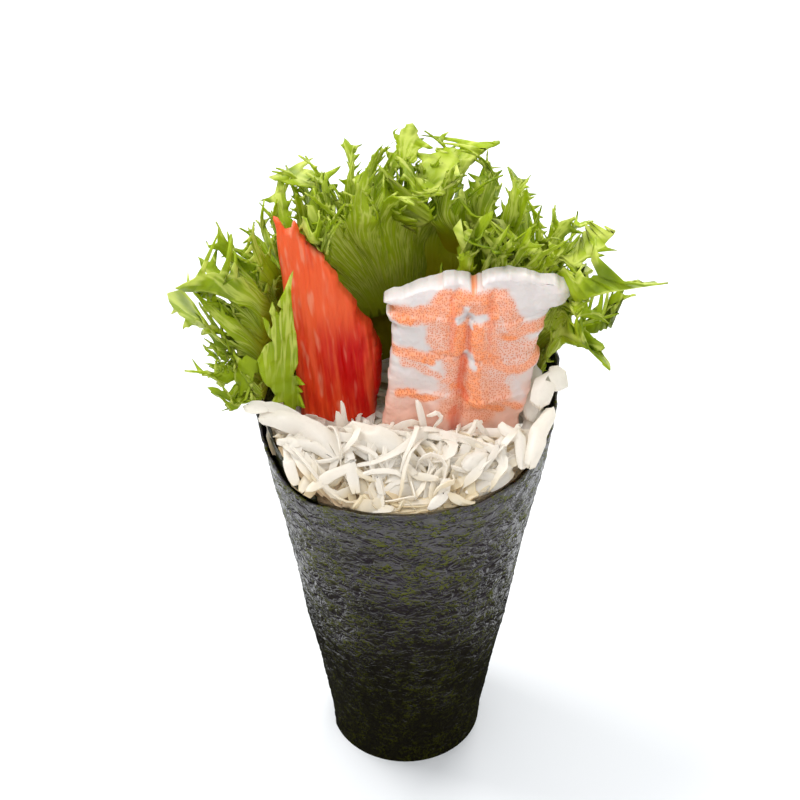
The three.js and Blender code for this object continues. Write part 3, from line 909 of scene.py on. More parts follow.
def nori_finish(colours):
    finish = Finish("nori_sheet")
    where = finish.place("UV")
    weave = finish.place("UV", (1.0, 1.45, 1.0), (0.0, 0.0, 0.22))
    height = finish.coordinate(finish.place(), "Z") * 10.0
    patches = finish.noise(where, 9.0, 3.0, 0.6)
    clumps = finish.noise(where, 26.0, 3.0, 0.6, 0.4)
    wrinkles = finish.noise(weave, 34.0, 2.5, 0.55, 0.9)
    fibres = finish.noise(weave, 125.0, 2.0, 0.6, 1.0)
    folds = finish.fit((wrinkles - 0.5).size(), 0.0, 0.03, 1.0, 0.0)
    creases = folds * finish.fit(clumps, 0.42, 0.6)
    relief = wrinkles * 1.1 + fibres * finish.fit(clumps, 0.38, 0.6) * 0.33 - creases * 0.09
    normal = finish.bump(relief, 0.0013, 1.0)
    # Painted reflection: lit and sheen below paint where the nori reflects bright surroundings, by its
    # height, by how far each wrinkle faces up or sideways, and by patches.
    sideways = finish.dot(normal, (1.0, 0.0, 0.0)).size()
    side = finish.fit(sideways, 0.6, 1.0) * finish.fit(height, 0.2, 0.5)
    open_sky = finish.dot(normal, (0.0, 0.0, 1.0)) + height * 1.6 + patches * 0.9 + side * 0.75
    lit = finish.fit(open_sky, 1.1, 1.62)
    # Painted reflection and shade: the nori and its flecks are painted lighter and greyer higher up the
    # cone, as a painted sheen of bright surroundings, and darker toward the foot, as painted shade.
    high = finish.fit(height + patches * 0.5, 0.45, 0.95)
    colour = finish.blend(high, colours.nori_low, colours.nori)
    fleck = finish.blend(high, colours.nori_fleck_low, colours.nori_fleck)
    clustered = finish.fit(clumps * 0.65 + patches * 0.35, 0.44, 0.56)
    green = finish.fit(fibres * 0.7 + wrinkles * 0.3, 0.49, 0.56) * (clustered * 0.8 + 0.2)
    colour = finish.blend(green.clamped(), colour, fleck)
    # Painted shade: the creases are painted with the darkest nori.
    colour = finish.blend(creases * 0.85, colour, colours.nori_low)
    inner = finish.blend(finish.fit(fibres, 0.45, 0.6), colours.nori_inside, colours.nori_fleck_low)
    colour = finish.blend(finish.value("inside"), colour, inner)
    # Painted shade: creases also lose most of the painted sheen.
    sheen = lit * (1.0 - green * 0.75) * (1.0 - creases * 0.7) + 0.02
    # Painted reflection: two copies of the nori, one without any reflection and one with a clear coat, mixed
    # by the painted sheen.
    no_sheen_shader = finish.shader(Base_Color=colour, Roughness=0.5, Specular_IOR_Level=0.0, Normal=normal)
    painted_sheen_shader = finish.shader(
        Base_Color=colour,
        Roughness=0.3,
        Specular_IOR_Level=0.45,
        Coat_Weight=0.45,
        Coat_Roughness=0.12,
        Normal=normal,
    )
    both = finish.add("ShaderNodeMixShader", {}, {0: sheen.clamped(), 1: no_sheen_shader, 2: painted_sheen_shader})
    return finish.end(both.out(0))


# ---- cabbage -----------------------------------------------------------------------------------
# Height of the heap at the front rim, behind it, where the toppings stand and at the back, and how much
# higher it is at the right.
HEAP_EDGE, HEAP_CROWN, HEAP_AT_TOPPINGS, HEAP_BACK, HEAP_RIGHT = 73.2, 78.6, 72.5, 69.0, 3.0


def heap_height(x, y):
    """Top of the heap: crowned behind the front rim, lower where the toppings stand."""
    crown = mix(HEAP_EDGE, HEAP_CROWN, ease(y, -24.0, -12.5))
    standing = mix(crown, HEAP_AT_TOPPINGS, ease(y, -11.0, -1.0))
    back = mix(standing, HEAP_BACK, ease(y, 2.0, 12.0))
    return back + HEAP_RIGHT * ease(x, 19.0, 23.0) * ease(y, -8.0, -1.0)


def keep_inside(points):
    """Moves what would poke through the wrap to just inside it, further where the wrap laps."""
    x, y, z = points.T
    turn = np.degrees(np.arctan2(y, x))
    limit = cone_radius(z) - 2.0 - 1.7 * ease(np.abs(turn), 140.0, 158.0)
    below = ease(along(RIM, turn) - z, -0.5, 1.5)
    radius = np.hypot(x, y)
    share = mix(1.0, np.minimum(1.0, limit / np.maximum(radius, 1e-6)), below)
    return np.stack([x * share, y * share, z], -1)


class Shreds:
    """Flat cut shreds of one kind: each is a copy of one model laid along its own path; all are joined."""

    def __init__(self, name, across, lengthways, seed):
        self.name = name
        self.draw = random.Random(seed)
        self.model, self.places = slab(name, across, lengthways, lambda *place: np.stack(place, -1))
        self.copies = []

    def outline(self, turn, share, jag):
        """Share along the path and share of the width for each point, with cut, ragged ends and wavy
        edges. turn is -1 at the left edge and 1 at the right."""
        draw = self.draw
        second = share > 0.5
        one_wave, other_wave = draw.uniform(0, 6), draw.uniform(0, 6)
        cut = draw.uniform(-1.0, 1.0) * jag
        end = np.abs(share * 2.0 - 1.0)
        blunt = np.where(second, draw.uniform(1.2, 4.5), draw.uniform(1.4, 6.0))
        taper = np.maximum(np.sqrt(1.0 - end**blunt), 0.1)
        ragged = np.sin(turn * draw.uniform(2.5, 6.0) + np.where(second, one_wave, other_wave)) * jag
        share = share + (cut * turn + ragged) * end**3 * np.where(second, 1.0, -0.7)
        share = np.clip(share, 0.0, 1.0)
        edge = np.where(turn > 0.0, one_wave, other_wave)
        waves = np.sin(share * draw.uniform(3, 8) + edge) * 0.15
        waves = waves + np.sin(share * draw.uniform(9, 17) + edge * 2) * 0.07
        ripple = 0.06 * np.sin(share * draw.uniform(6, 14) + other_wave) * turn
        return share, taper * (1.0 + waves), ripple

    def lay(
        self, path, width, thick, facing=(0.0, -0.55, 0.83), roll=(0.0, 0.0), cup=0.0, shade_and_tone=0.5, jag=0.12
    ):
        """Lays one shred along a path in mm. roll turns it at its two ends, in degrees, cup bends it
        across, and jag is how ragged its ends are, as a share of its length."""
        turn = self.places[:, 0] * 2.0
        share, outline, ripple = self.outline(turn, self.places[:, 1] + 0.5, jag)
        before, after = np.maximum(share - 0.03, 0.0), np.minimum(share + 0.03, 1.0)
        ahead = unit(through(path, after) - through(path, before))
        side = unit(np.cross(ahead, np.array(facing)))
        side, normal = turned(side, np.cross(side, ahead), np.radians(mix(roll[0], roll[1], share)))
        rim = 1.0 - 0.35 * turn**2
        rise = (self.places[:, 2] - 0.5) * thick * rim + cup * turn**2 + ripple * width
        points = through(path, share) + side * (width / 2 * outline * turn)[:, None]
        points = keep_inside(points + normal * rise[:, None])
        copy = self.model.copy()
        copy.data = self.model.data.copy()
        bpy.context.scene.collection.objects.link(copy)
        write_points(copy, points * MM)
        # Painted shade: shreds sunk below the top of the heap, and shreds toward the front rim, get more of
        # the warmer, darker colours, on top of the shade passed in and a random share.
        sunk = heap_height(points[:, 0], points[:, 1]) - points[:, 2]
        depth = 0.75 * ease(sunk, -1.6, 1.2) + 0.4 * ease(points[:, 1], -15.0, -21.0)
        store(copy, "shade_and_tone", shade_and_tone * 0.6 + self.draw.uniform(-0.25, 0.3) + depth - 0.15)
        self.copies.append(copy)

    def join(self, finish):
        """Joins all the shreds to one piece."""
        bpy.ops.object.select_all(action="DESELECT")
        for copy in self.copies:
            copy.select_set(True)
        bpy.context.view_layer.objects.active = self.copies[0]
        bpy.ops.object.join()
        joined = bpy.context.object
        bpy.data.objects.remove(self.model)
        joined.name = joined.data.name = self.name
        outwards(joined)
        finished(joined, "cabbage_heap", finish)
        bpy.ops.object.shade_smooth_by_angle(angle=math.radians(48.0))


def any_roll(draw, most):
    """How far a shred is turned at its two ends, in degrees."""
    return draw.uniform(-most, most), draw.uniform(-most, most)


def heap_spot(draw, reach, behind=6.0):
    """A random spot on top of the heap, in mm."""
    while True:
        x, y = draw.uniform(-reach, reach), draw.uniform(-reach, behind)
        if math.hypot(x, y) < reach:
            return x, y


def settle(points, lift):
    """Moves a flat path up onto the heap."""
    points = np.array(points, float)
    height = heap_height(points[:, 0], points[:, 1]) + lift
    return np.stack([points[:, 0], points[:, 1], height], -1)


def scattered_path(draw, length, reach, lift, spot=None, heading=None, bend=2.6, crest=1.7):
    """A curved path that arches a little over the heap and dips at its ends."""
    x, y = spot or heap_spot(draw, reach)
    heading = draw.uniform(0.0, 2.0 * math.pi) if heading is None else heading
    bend = draw.uniform(-1.0, 1.0) * bend
    points, count = [], 7
    turning = draw.uniform(-0.5, 0.5)
    for i in range(count):
        points.append((x, y))
        heading += bend / count + turning * math.sin(i * 1.3)
        x += math.cos(heading) * length / (count - 1)
        y += math.sin(heading) * length / (count - 1)
        far = math.hypot(x, y)
        if far > reach:
            x, y = x * reach / far, y * reach / far
    share = np.linspace(-1.0, 1.0, count)
    arch = draw.uniform(0.0, crest) * (1.0 - share**2)
    tilt = draw.uniform(-0.7, 0.7) * share
    return settle(points, arch + tilt + lift)


def torn_strip(shreds, lift, shade_and_tone, spot=None):
    """Lays one strip that is torn into fingers: shreds that fan out from one spot."""
    draw = shreds.draw
    spot = spot or heap_spot(draw, 21.5)
    heading = draw.uniform(0.0, 2.0 * math.pi)
    fingers = draw.choice((2, 3, 3, 4))
    spread = draw.uniform(0.25, 0.5)
    roll = draw.uniform(-35.0, 35.0)
    for finger in range(fingers):
        turned_to = heading + (finger - (fingers - 1) / 2.0) * spread
        path = scattered_path(draw, draw.uniform(6.0, 17.0), 23.4, lift, spot, turned_to, bend=1.8)
        width = draw.uniform(0.7, 2.3)
        rolled = (roll, roll + draw.uniform(-30, 30))
        shreds.lay(path, width, 0.34, roll=rolled, cup=draw.uniform(-0.4, 0.2), shade_and_tone=shade_and_tone)


def rim_path(draw):
    """A short path along the inside of the front rim."""
    turn, width = draw.uniform(-172.0, 24.0), draw.uniform(14.0, 34.0)
    turns = turn + width * np.array([-0.5, 0.0, 0.5])
    height = np.minimum(along(RIM, turns), 80.5) - draw.uniform(0.3, 2.2)
    return polar(cone_radius(height) - draw.uniform(1.8, 4.5), turns, height)


# Radius at the top of the heap's core.
CORE_RADIUS = 23.0


def build_core(finish):
    """The inside of the heap: a ball stretched to fill the wrap to just below the shreds."""
    core = start("cabbage_core", "uv_sphere", segments=64, ring_count=40, radius=1.0)
    ball = read_points(core)
    turn = np.degrees(np.arctan2(ball[:, 1], ball[:, 0]))
    flat = np.hypot(ball[:, 0], ball[:, 1])
    top = ball[:, 2] > 0.0
    rim = along(RIM, turn) - 5.0

    def heap_at(radius):
        spot = polar(radius, turn, 0.0)
        return spot, heap_height(spot[:, 0], spot[:, 1])

    # the upper half is the top of the heap, the lower half the wall and the bottom
    wall = CORE_RADIUS * np.minimum(1.0, flat * 1.05)
    spot, heap = heap_at(wall)
    share = np.where(top, np.sin(np.arccos(np.clip(ball[:, 2], -1, 1))), 1.0)
    over = np.minimum(heap - 0.9, mix(78.5, rim + 2.5, ease(share, 0.7, 1.0)))
    over = over + 0.7 * rough(spot, 2.2, 2, 6.0)
    _, heap_edge = heap_at(np.full(len(flat), CORE_RADIUS))
    depth = np.clip(-ball[:, 2], 0.0, 1.0)
    low = mix(np.minimum(rim, heap_edge - 1.5), 1.2, np.clip(depth * 1.6, 0.0, 1.0))
    low_radius = (FOOT_RADIUS + CONE_SLOPE * low - 2.2) * np.minimum(1.0, flat * 2.0)
    points = polar(np.where(top, wall, low_radius), turn, np.where(top, over, low))
    write_points(core, points * MM)
    # Painted shade: the whole core is given deep shade.
    store(core, "shade_and_tone", np.full(len(flat), 0.9))
    finished(core, "cabbage_heap", finish)


# The shreds that stand out, as paths in mm: narrow threads, broad flakes and thick rib ends.
THREADS = [
    ([(-17, -20, 76.5), (-13, -18, 78), (-9, -16, 79)], 2.2),
    ([(-10, -13, 80), (-9.5, -15.5, 79.5), (-8.5, -20.5, 76.5)], 1.9),
    ([(-4, -20.5, 76), (-5, -18, 77.5), (-2.5, -16, 78.5)], 1.5),
    ([(-12, -6, 82), (-11, -7.5, 79), (-10, -9, 76)], 1.4),
    ([(-11, -5, 83.5), (-10.5, -6.5, 80), (-10, -8, 77)], 1.2),
    ([(-7, -6.5, 80.5), (-6.5, -8, 78), (-6, -9, 75)], 1.4),
    ([(-9, -22.5, 75), (-7.5, -21, 76.4), (-5, -22.8, 75)], 0.8),
    ([(-1.5, -23.3, 75), (-0.5, -21.5, 76.2), (1.5, -23, 75)], 0.8),
    ([(-20.5, -10, 79.5), (-20, -14.5, 78.5), (-18.5, -18, 76)], 1.9),
    ([(2, -5.5, 84.2), (3, -7.5, 80), (3.5, -10, 75.5)], 1.5),
    ([(3.5, -7, 81.7), (5.2, -6.6, 82.4), (6, -7, 81.6), (5, -7.5, 80.4), (4.3, -8.5, 78)], 0.7),
    ([(-0.5, -7.5, 80), (1, -8.5, 78.5), (3.5, -10, 76)], 1.1),
    ([(4.5, -7.8, 79), (6, -8.5, 77.5), (8, -10, 75)], 0.9),
    ([(5, -17.5, 77.5), (6.5, -14, 78.5), (10, -10.5, 79.5), (11.5, -9, 81), (12, -8.3, 82)], 1.1),
    ([(12, -8.2, 82), (13.3, -9, 80.2), (13.3, -10.5, 77)], 1.1),
    ([(9, -10, 79), (10, -11, 78.5), (11, -12, 77)], 1.4),
    ([(-0.5, -16, 79.3), (1.5, -18, 78.3), (5.5, -18.5, 78)], 1.3),
    ([(7, -18.5, 78.2), (6.5, -21, 77.2), (3.5, -23.3, 75.6)], 1.9),
    ([(6.5, -21, 77), (9.5, -22.5, 76.2), (11.8, -22.6, 75.8)], 1.4),
    ([(7.5, -16.5, 79), (10, -17, 78.5), (12.5, -18, 77.8)], 0.8),
    ([(12.5, -17, 78.4), (15, -17.5, 78.4), (17.5, -16.3, 79)], 1.1),
]
FLAKES = [
    ([(-28, -4.5, 81.6), (-24, -5, 82.3), (-18, -7.5, 81.5)], 2.1, 0.3),
    ([(-25.3, -6.5, 81), (-22, -7.8, 81.8), (-18, -9, 81.6), (-14, -11.5, 81), (-11.5, -15, 79)], 3.4, -0.5),
    ([(-22, -11.5, 80.2), (-20, -12, 80.8), (-16, -13, 80.6), (-11.5, -15, 78.6)], 2.1, -0.3),
    ([(-17.5, -19.5, 75.6), (-15.5, -16, 77.6), (-10, -14.5, 78)], 3.5, -0.7),
    ([(-10.5, -9, 81.2), (-6, -11.5, 81), (-1, -13.5, 80), (3, -15.5, 78.6)], 4.2, -0.6),
    ([(-3, -20, 75.8), (1, -18.5, 76.8), (6, -19.5, 76)], 4.0, -0.6),
    ([(10, -20, 76), (14, -18.5, 77), (18, -15.5, 77.6)], 3.4, -0.5),
    ([(16, -9.5, 82.5), (19, -12, 82), (19.7, -16.8, 78.6)], 2.2, -0.4),
]
CHUNKS = [
    ([(9.5, -17, 78.8), (11.5, -15.8, 80), (13.8, -14.6, 79.8)], 2.4, 1.8),
    ([(16, -11.5, 81), (16, -14, 80.4), (16.6, -17, 78.6)], 2.1, 1.7),
    ([(25, -6, 82.5), (22.5, -11, 81.5), (20.8, -16.5, 78.8)], 2.9, 2.2),
    ([(27.4, -1.2, 86.4), (24.2, -1.8, 86.2), (22.8, -6.5, 83)], 4.2, 2.4),
    ([(22.5, 3.5, 84), (22, -1.0, 82), (21, -5, 79)], 3.4, 1.6),
    ([(21, 6, 80), (21.5, 1.0, 80), (20.5, -3, 77)], 3.0, 1.4),
]


def build_threads(finish, sizes):
    """Narrow shreds: torn strips, loose threads and curls, those along the rim, and the chosen ones."""
    threads = Shreds("cabbage_threads", 2, 12, 21)
    draw = threads.draw
    # Painted shade: shreds laid lower in the heap are given more shade.
    for index in range(sizes.torn_strips):
        share = index / sizes.torn_strips
        torn_strip(threads, mix(-0.9, 1.0, share), 0.9 - 0.8 * share)
    for index in range(sizes.threads):
        share = index / sizes.threads
        path = scattered_path(draw, draw.uniform(10, 28), 23.6, mix(-0.7, 1.0, share), bend=4.2)
        roll = any_roll(draw, 70)
        width, thick = draw.uniform(0.5, 1.9), draw.uniform(0.3, 0.42)
        threads.lay(path, width, thick, roll=roll, shade_and_tone=0.8 - 0.7 * share, cup=draw.uniform(-0.3, 0.3))
    for _ in range(sizes.curls):
        path = scattered_path(draw, draw.uniform(9, 16), 21.5, 0.7, bend=7.0, crest=3.6)
        roll = any_roll(draw, 80)
        threads.lay(path, draw.uniform(0.6, 1.5), 0.3, roll=roll, shade_and_tone=0.1)
    for _ in range(sizes.rim_threads):
        path = rim_path(draw)
        threads.lay(path, draw.uniform(1.2, 2.8), 0.35, facing=(0.0, 0.0, 1.0), shade_and_tone=draw.random())
    for _ in range(sizes.back_strips):
        lift = draw.uniform(-0.3, 0.8)
        torn_strip(threads, lift, 0.3, (draw.uniform(-16.0, 16.0), draw.uniform(4.0, 17.0)))
    for path, width in THREADS:
        threads.lay(path, width, 0.6, roll=any_roll(draw, 15), shade_and_tone=0.1, cup=-0.15)
    threads.join(finish)


def build_flakes(finish, sizes):
    """Broad thin shreds."""
    flakes = Shreds("cabbage_flakes", 5, 12, 22)
    draw = flakes.draw
    # Painted shade: flakes laid lower in the heap are given more shade.
    for index in range(sizes.flakes):
        share = index / sizes.flakes
        path = scattered_path(draw, draw.uniform(8, 15), 23.0, mix(-1.0, 0.5, share))
        roll = any_roll(draw, 35)
        width, thick, cup = draw.uniform(1.8, 3.8), draw.uniform(0.28, 0.4), draw.uniform(-1.6, 0.4)
        flakes.lay(path, width, thick, roll=roll, cup=cup, shade_and_tone=0.8 - 0.7 * share, jag=0.26)
    for path, width, cup in FLAKES:
        flakes.lay(path, width, 0.6, roll=any_roll(draw, 10), cup=cup, shade_and_tone=0.1, jag=0.2)
    flakes.join(finish)


def build_chunks(finish):
    """Thick ends of ribs."""
    chunks = Shreds("cabbage_chunks", 4, 8, 23)
    for path, width, thick in CHUNKS:
        chunks.lay(path, width, thick, shade_and_tone=0.1, cup=-0.4)
    chunks.join(finish)


def cabbage_finish(colours, name, shade):
    finish = Finish(name)
    shade_and_tone = finish.value("shade_and_tone")
    where = finish.place()
    cloud = finish.noise(where, 240.0, 2.0)
    grain = finish.noise(finish.place(scale=(1.0, 1.0, 0.4)), 1400.0, 2.0)
    # Painted shade: the stored shade, with a soft random cloud, turns the cabbage warmer and then darker
    # toward the colour of the gaps; shade darkens a whole piece the same way.
    colour = finish.blend(finish.fit(shade_and_tone + cloud * 0.6, 0.4, 1.1), colours.cabbage, colours.cabbage_warm)
    colour = finish.blend(finish.fit(shade_and_tone + cloud * 0.4, 0.8, 1.3) * 0.6, colour, colours.cabbage_gap_shade)
    colour = finish.blend(shade, colour, colours.cabbage_gap_shade)
    return finish.surface(
        through=colour,
        share=0.5,
        Base_Color=colour,
        Roughness=finish.fit(grain, 0.3, 0.7, 0.25, 0.4),
        Specular_IOR_Level=0.5,
        Normal=finish.bump(grain * 0.5 + cloud, 0.0002, 0.5),
    )


# ---- toppings that lean back -------------------------------------------------------------------
def leaning(base, lean, x, run, depth):
    """Points at X, a distance up the slope, and a depth behind its front."""
    rise = run / math.hypot(1.0, lean)
    return np.stack([x, base + rise * lean + depth, FRONT_RIM + rise], -1)


def leaning_place(piece, lean):
    """X and the distance up the slope of a piece's points."""
    points = read_points(piece) / MM
    return points[:, 0], (points[:, 2] - FRONT_RIM) * math.hypot(1.0, lean)


# The crab stick's fibres slant: X for each mm up the slope.
FIBRE_SLANT = 0.115
CRAB_TOP = [[0.0, 35.6], [0.12, 35.2], [0.4, 33.0], [0.62, 33.2], [0.85, 34.8], [1.0, 34.2]]


def build_crab(finish):
    """A stick of fibres whose torn top has two prongs and a dip between them."""

    def place(across, up, side):
        run = mix(CRAB_FOOT, along(CRAB_TOP, across), up)
        saw = np.mod(run * 0.62 + 0.25 * np.sin(run), 1.0) * ease(run, 2.0, 8.0)
        ragged = 0.1 * saw + 0.22 * rough(np.stack([run, 0 * run, 0 * run], -1), 0.9, 1, 34.0)
        x = mix(along(CRAB_LEFT, run), along(CRAB_RIGHT, run) + ragged, across)
        thick = mix(CRAB_THICK, CRAB_TIP, ease(run, 0.0, 35.0))
        fibre = np.stack([x + FIBRE_SLANT * run, run * 0.05, 0.0 * run], -1)
        ridge = 0.30 * rough(fibre, 1.5, 2, 31.0) + 0.25 * rough(fibre * (1, 3, 1), 4.0, 1, 32.0)
        flakes = 0.22 * rough(np.stack([x * 1.2, run * 0.28, 0 * run], -1), 1.2, 2, 33.0)
        bulge = np.sqrt(np.maximum(0.0, 1.0 - np.abs(2.0 * across - 1.0) ** 5))
        rounding = thick * 0.32 * (1.0 - bulge)
        curl = -1.8 * ease(run, 33.0, 38.0) * ease(across, 0.45, 1.0)
        front = rounding + ridge + flakes + curl
        back = thick - rounding + 0.5 * ridge + curl
        return leaning(CRAB_BASE, CRAB_LEAN, x, run, mix(front, back, side))

    piece, _ = slab("crab_fibres", 90, 230, place)
    x, run = leaning_place(piece, CRAB_LEAN)
    keep_place(piece, x + FIBRE_SLANT * run, run)
    left, right = along(CRAB_LEFT, run), along(CRAB_RIGHT, run)
    store(piece, "right", ease((x - left) / (right - left), 0.0, 1.0))
    finished(piece, "crab_stick", finish)


def crab_finish(colours):
    finish = Finish("crab_fibres")
    threads = finish.noise(finish.place("UV", (1.0, 0.05, 1.0)), 120.0, 3.0, 0.6)
    strands = finish.noise(finish.place("UV", (1.0, 0.09, 1.0)), 42.0, 2.0, 0.5)
    dashes = finish.noise(finish.place("UV", (1.0, 0.16, 1.0)), 75.0, 2.0, 0.5)
    blush = finish.noise(finish.place("UV", (1.0, 0.4, 1.0)), 14.0, 1.0)
    patches = finish.noise(finish.place("UV", (1.0, 0.22, 1.0)), 48.0, 2.0, 0.5)
    away = finish.coordinate(finish.place("UV"), "Y") * 7.0 - 0.8
    # Painted shade and light: the meat is painted deeper red toward its right side, most of all partway up,
    # as shade on the side away from the light, and paler toward its top, as painted light; blush and patches
    # are its own uneven colour.
    deep = finish.fit(finish.value("right") * 0.8 - away * away * 0.6 + blush * 0.6, 0.2, 0.8)
    deep = deep + finish.fit(patches, 0.5, 0.6) * (1.0 - deep) * 0.4
    colour = finish.blend(deep, colours.crab, colours.crab_deep_red_and_shade)
    colour = finish.blend(finish.fit(away, 0.0, 0.6) * 0.7, colour, colours.crab_pale_and_lit)
    colour = finish.blend(finish.fit(strands, 0.5, 0.68) * 0.45, colour, colours.crab_pale_and_lit)
    colour = finish.blend(finish.fit(threads, 0.5, 0.7) * 0.25, colour, colours.crab_pale_and_lit)
    soft = finish.fit(patches, 0.46, 0.36) * (1.0 - deep)
    colour = finish.blend(soft * 0.55, colour, colours.crab_streak)
    crisp = finish.fit(dashes, 0.58, 0.74) * (1.0 - deep * 0.5)
    colour = finish.blend(crisp * 0.5, colour, colours.crab_streak)
    colour = finish.blend(finish.fit(strands, 0.44, 0.36) * 0.4, colour, colours.crab_deep_red_and_shade)
    return finish.surface(
        Base_Color=colour,
        Roughness=finish.fit(threads, 0.3, 0.7, 0.26, 0.42),
        Specular_IOR_Level=0.16,
        Subsurface_Weight=0.12,
        Subsurface_Radius=(1.0, 0.12, 0.06),
        Subsurface_Scale=0.001,
        Normal=finish.bump(threads * 0.6 + strands, 0.0005, 0.8),
    )


# Top edge by share of the way across, and X of the groove, by distance up the slope.
SHRIMP_TOP = [
    [0.0, 24.2], [0.06, 25.6], [0.14, 27.0], [0.26, 28.2], [0.37, 28.0], [0.41, 26.9], [0.45, 27.6],
    [0.58, 28.6], [0.72, 28.9], [0.82, 28.6], [0.92, 28.3], [1.0, 26.8],
]
GROOVE = [[0, 8.2], [10, 9.3], [16, 9.8], [22, 10.6], [26, 8.6], [29, 9.0]]
SEGMENT = 6.9
# Strokes: points as (X, distance up the slope), half width, strength. First the stippled orange ones.
STROKES = [
    ([(9, 24.0), (9.5, 17)], 4.0, 0.74),
    ([(12.5, 23.5), (13.5, 16)], 3.2, 0.74),
    ([(10, 16), (11.5, 9.5)], 4.2, 0.62),
    ([(17, 15), (15, 9)], 3.2, 0.46),
    ([(8, 7), (13, 6)], 3.0, 0.4),
    ([(-1.5, 23), (1, 23), (4, 23.2), (5.6, 25.2), (7, 26.8)], 1.3, 0.8),
    ([(-1.2, 22.2), (0.6, 22.2)], 0.6, 1.0),
    ([(8, 23.6), (8.6, 25.6), (10.5, 27), (13, 27.4), (14, 26), (14.6, 23.6)], 1.5, 0.9),
    ([(14.2, 26.6), (16, 26.4), (16.6, 25), (18, 22.5), (18.5, 20.6)], 1.5, 0.7),
    ([(9, 21.4), (9, 17.2)], 1.3, 1.0),
    ([(12, 21.4), (12, 16.6), (14.5, 15.5)], 1.3, 0.95),
    ([(5, 22), (5, 19), (6, 17.6)], 1.6, 0.55),
    ([(15.4, 21.6), (16, 17)], 1.5, 0.45),
    ([(16.5, 19.6), (18.5, 19.6), (20.5, 20.6), (23, 21)], 1.1, 0.75),
    ([(16.8, 19.2), (18.4, 19)], 0.5, 1.0),
    ([(-2, 16), (0.5, 16), (2.5, 15.5), (4, 15.4), (6, 16.8), (8.5, 16.9)], 0.75, 0.85),
    ([(2.8, 15.1), (4.4, 15.0)], 0.5, 1.0),
    ([(-0.5, 14.5), (1.5, 14), (4, 13), (5.5, 12.6)], 0.5, 0.5),
    ([(14.5, 15.6), (15.6, 14.4), (17.5, 13.2), (20, 13.5), (22.5, 15)], 0.9, 0.8),
    ([(17, 17), (20, 16.4), (22, 16.6)], 1.8, 0.5),
    ([(18, 20), (19, 15)], 3.0, 0.4),
    ([(11.5, 14), (11.4, 11), (12.4, 8)], 1.2, 0.9),
    ([(6.8, 10.6), (8.6, 13.8)], 1.3, 0.6),
    ([(-1.5, 8.6), (0.5, 9), (2.5, 8), (5, 9), (8, 10.4), (9.5, 9.6)], 0.35, 0.9),
    ([(10.5, 8), (13, 7.5), (14.5, 6.5), (16, 6)], 0.5, 0.9),
    ([(17, 7), (18, 6.5), (19.5, 6)], 0.4, 0.7),
    ([(14, 11.5), (15.5, 9)], 1.8, 0.35),
]
RAISED_STROKES = [
    ([(9, 21.4), (9, 17.2)], 1.1, 1.0),
    ([(12, 21.4), (12, 16.6)], 1.1, 1.0),
    ([(11.5, 14), (12.4, 8)], 1.2, 0.9),
    ([(9, 24), (10.5, 26.4), (13, 26.4)], 1.2, 0.9),
    ([(16, 25), (17.5, 21)], 1.2, 0.6),
    ([(5, 22), (5.5, 18)], 1.4, 0.6),
]
DEEP_STROKES = [
    ([(7.9, 26), (7.9, 22), (7.6, 17.5)], 0.25, 0.4),
    ([(10.4, 21), (10.4, 17)], 0.2, 0.45),
    ([(9.6, 15.4), (9.5, 13), (9.4, 10), (9.8, 8.4)], 0.4, 0.75),
    ([(14, 27), (14.3, 24.5), (14.2, 21), (14, 17.5)], 0.25, 0.3),
    ([(8, 5.4), (8.5, 1)], 0.8, 0.6),
]
WHITE_SPOTS = [
    ([(8.8, 22.9), (10.2, 23.3), (11.5, 22.9), (13.6, 23.1)], 0.55, 1.0),
    ([(10.1, 23.2), (10.2, 24.6)], 0.4, 1.0),
    ([(11, 22.4), (10.9, 21.4)], 0.4, 1.0),
    ([(10.4, 16.2), (11.2, 14.8)], 0.75, 1.0),
    ([(18, 11.4), (19.5, 8)], 1.0, 0.6),
    ([(1, 11), (4, 10.4), (6, 10)], 1.4, 0.5),
]


def stroke_mask(strokes, x, y, soft=0.6):
    """How strongly strokes cover each place."""
    cover = np.zeros(len(x))
    for points, half, strength in strokes:
        nearest = np.full(len(x), np.inf)
        for (x0, y0), (x1, y1) in zip(points, points[1:]):
            length = (x1 - x0) ** 2 + (y1 - y0) ** 2
            share = np.clip(((x - x0) * (x1 - x0) + (y - y0) * (y1 - y0)) / length, 0.0, 1.0)
            nearest = np.minimum(nearest, np.hypot(x - mix(x0, x1, share), y - mix(y0, y1, share)))
        cover = np.maximum(cover, strength * (1.0 - ease(nearest, half * 0.6, half + soft)))
    return cover


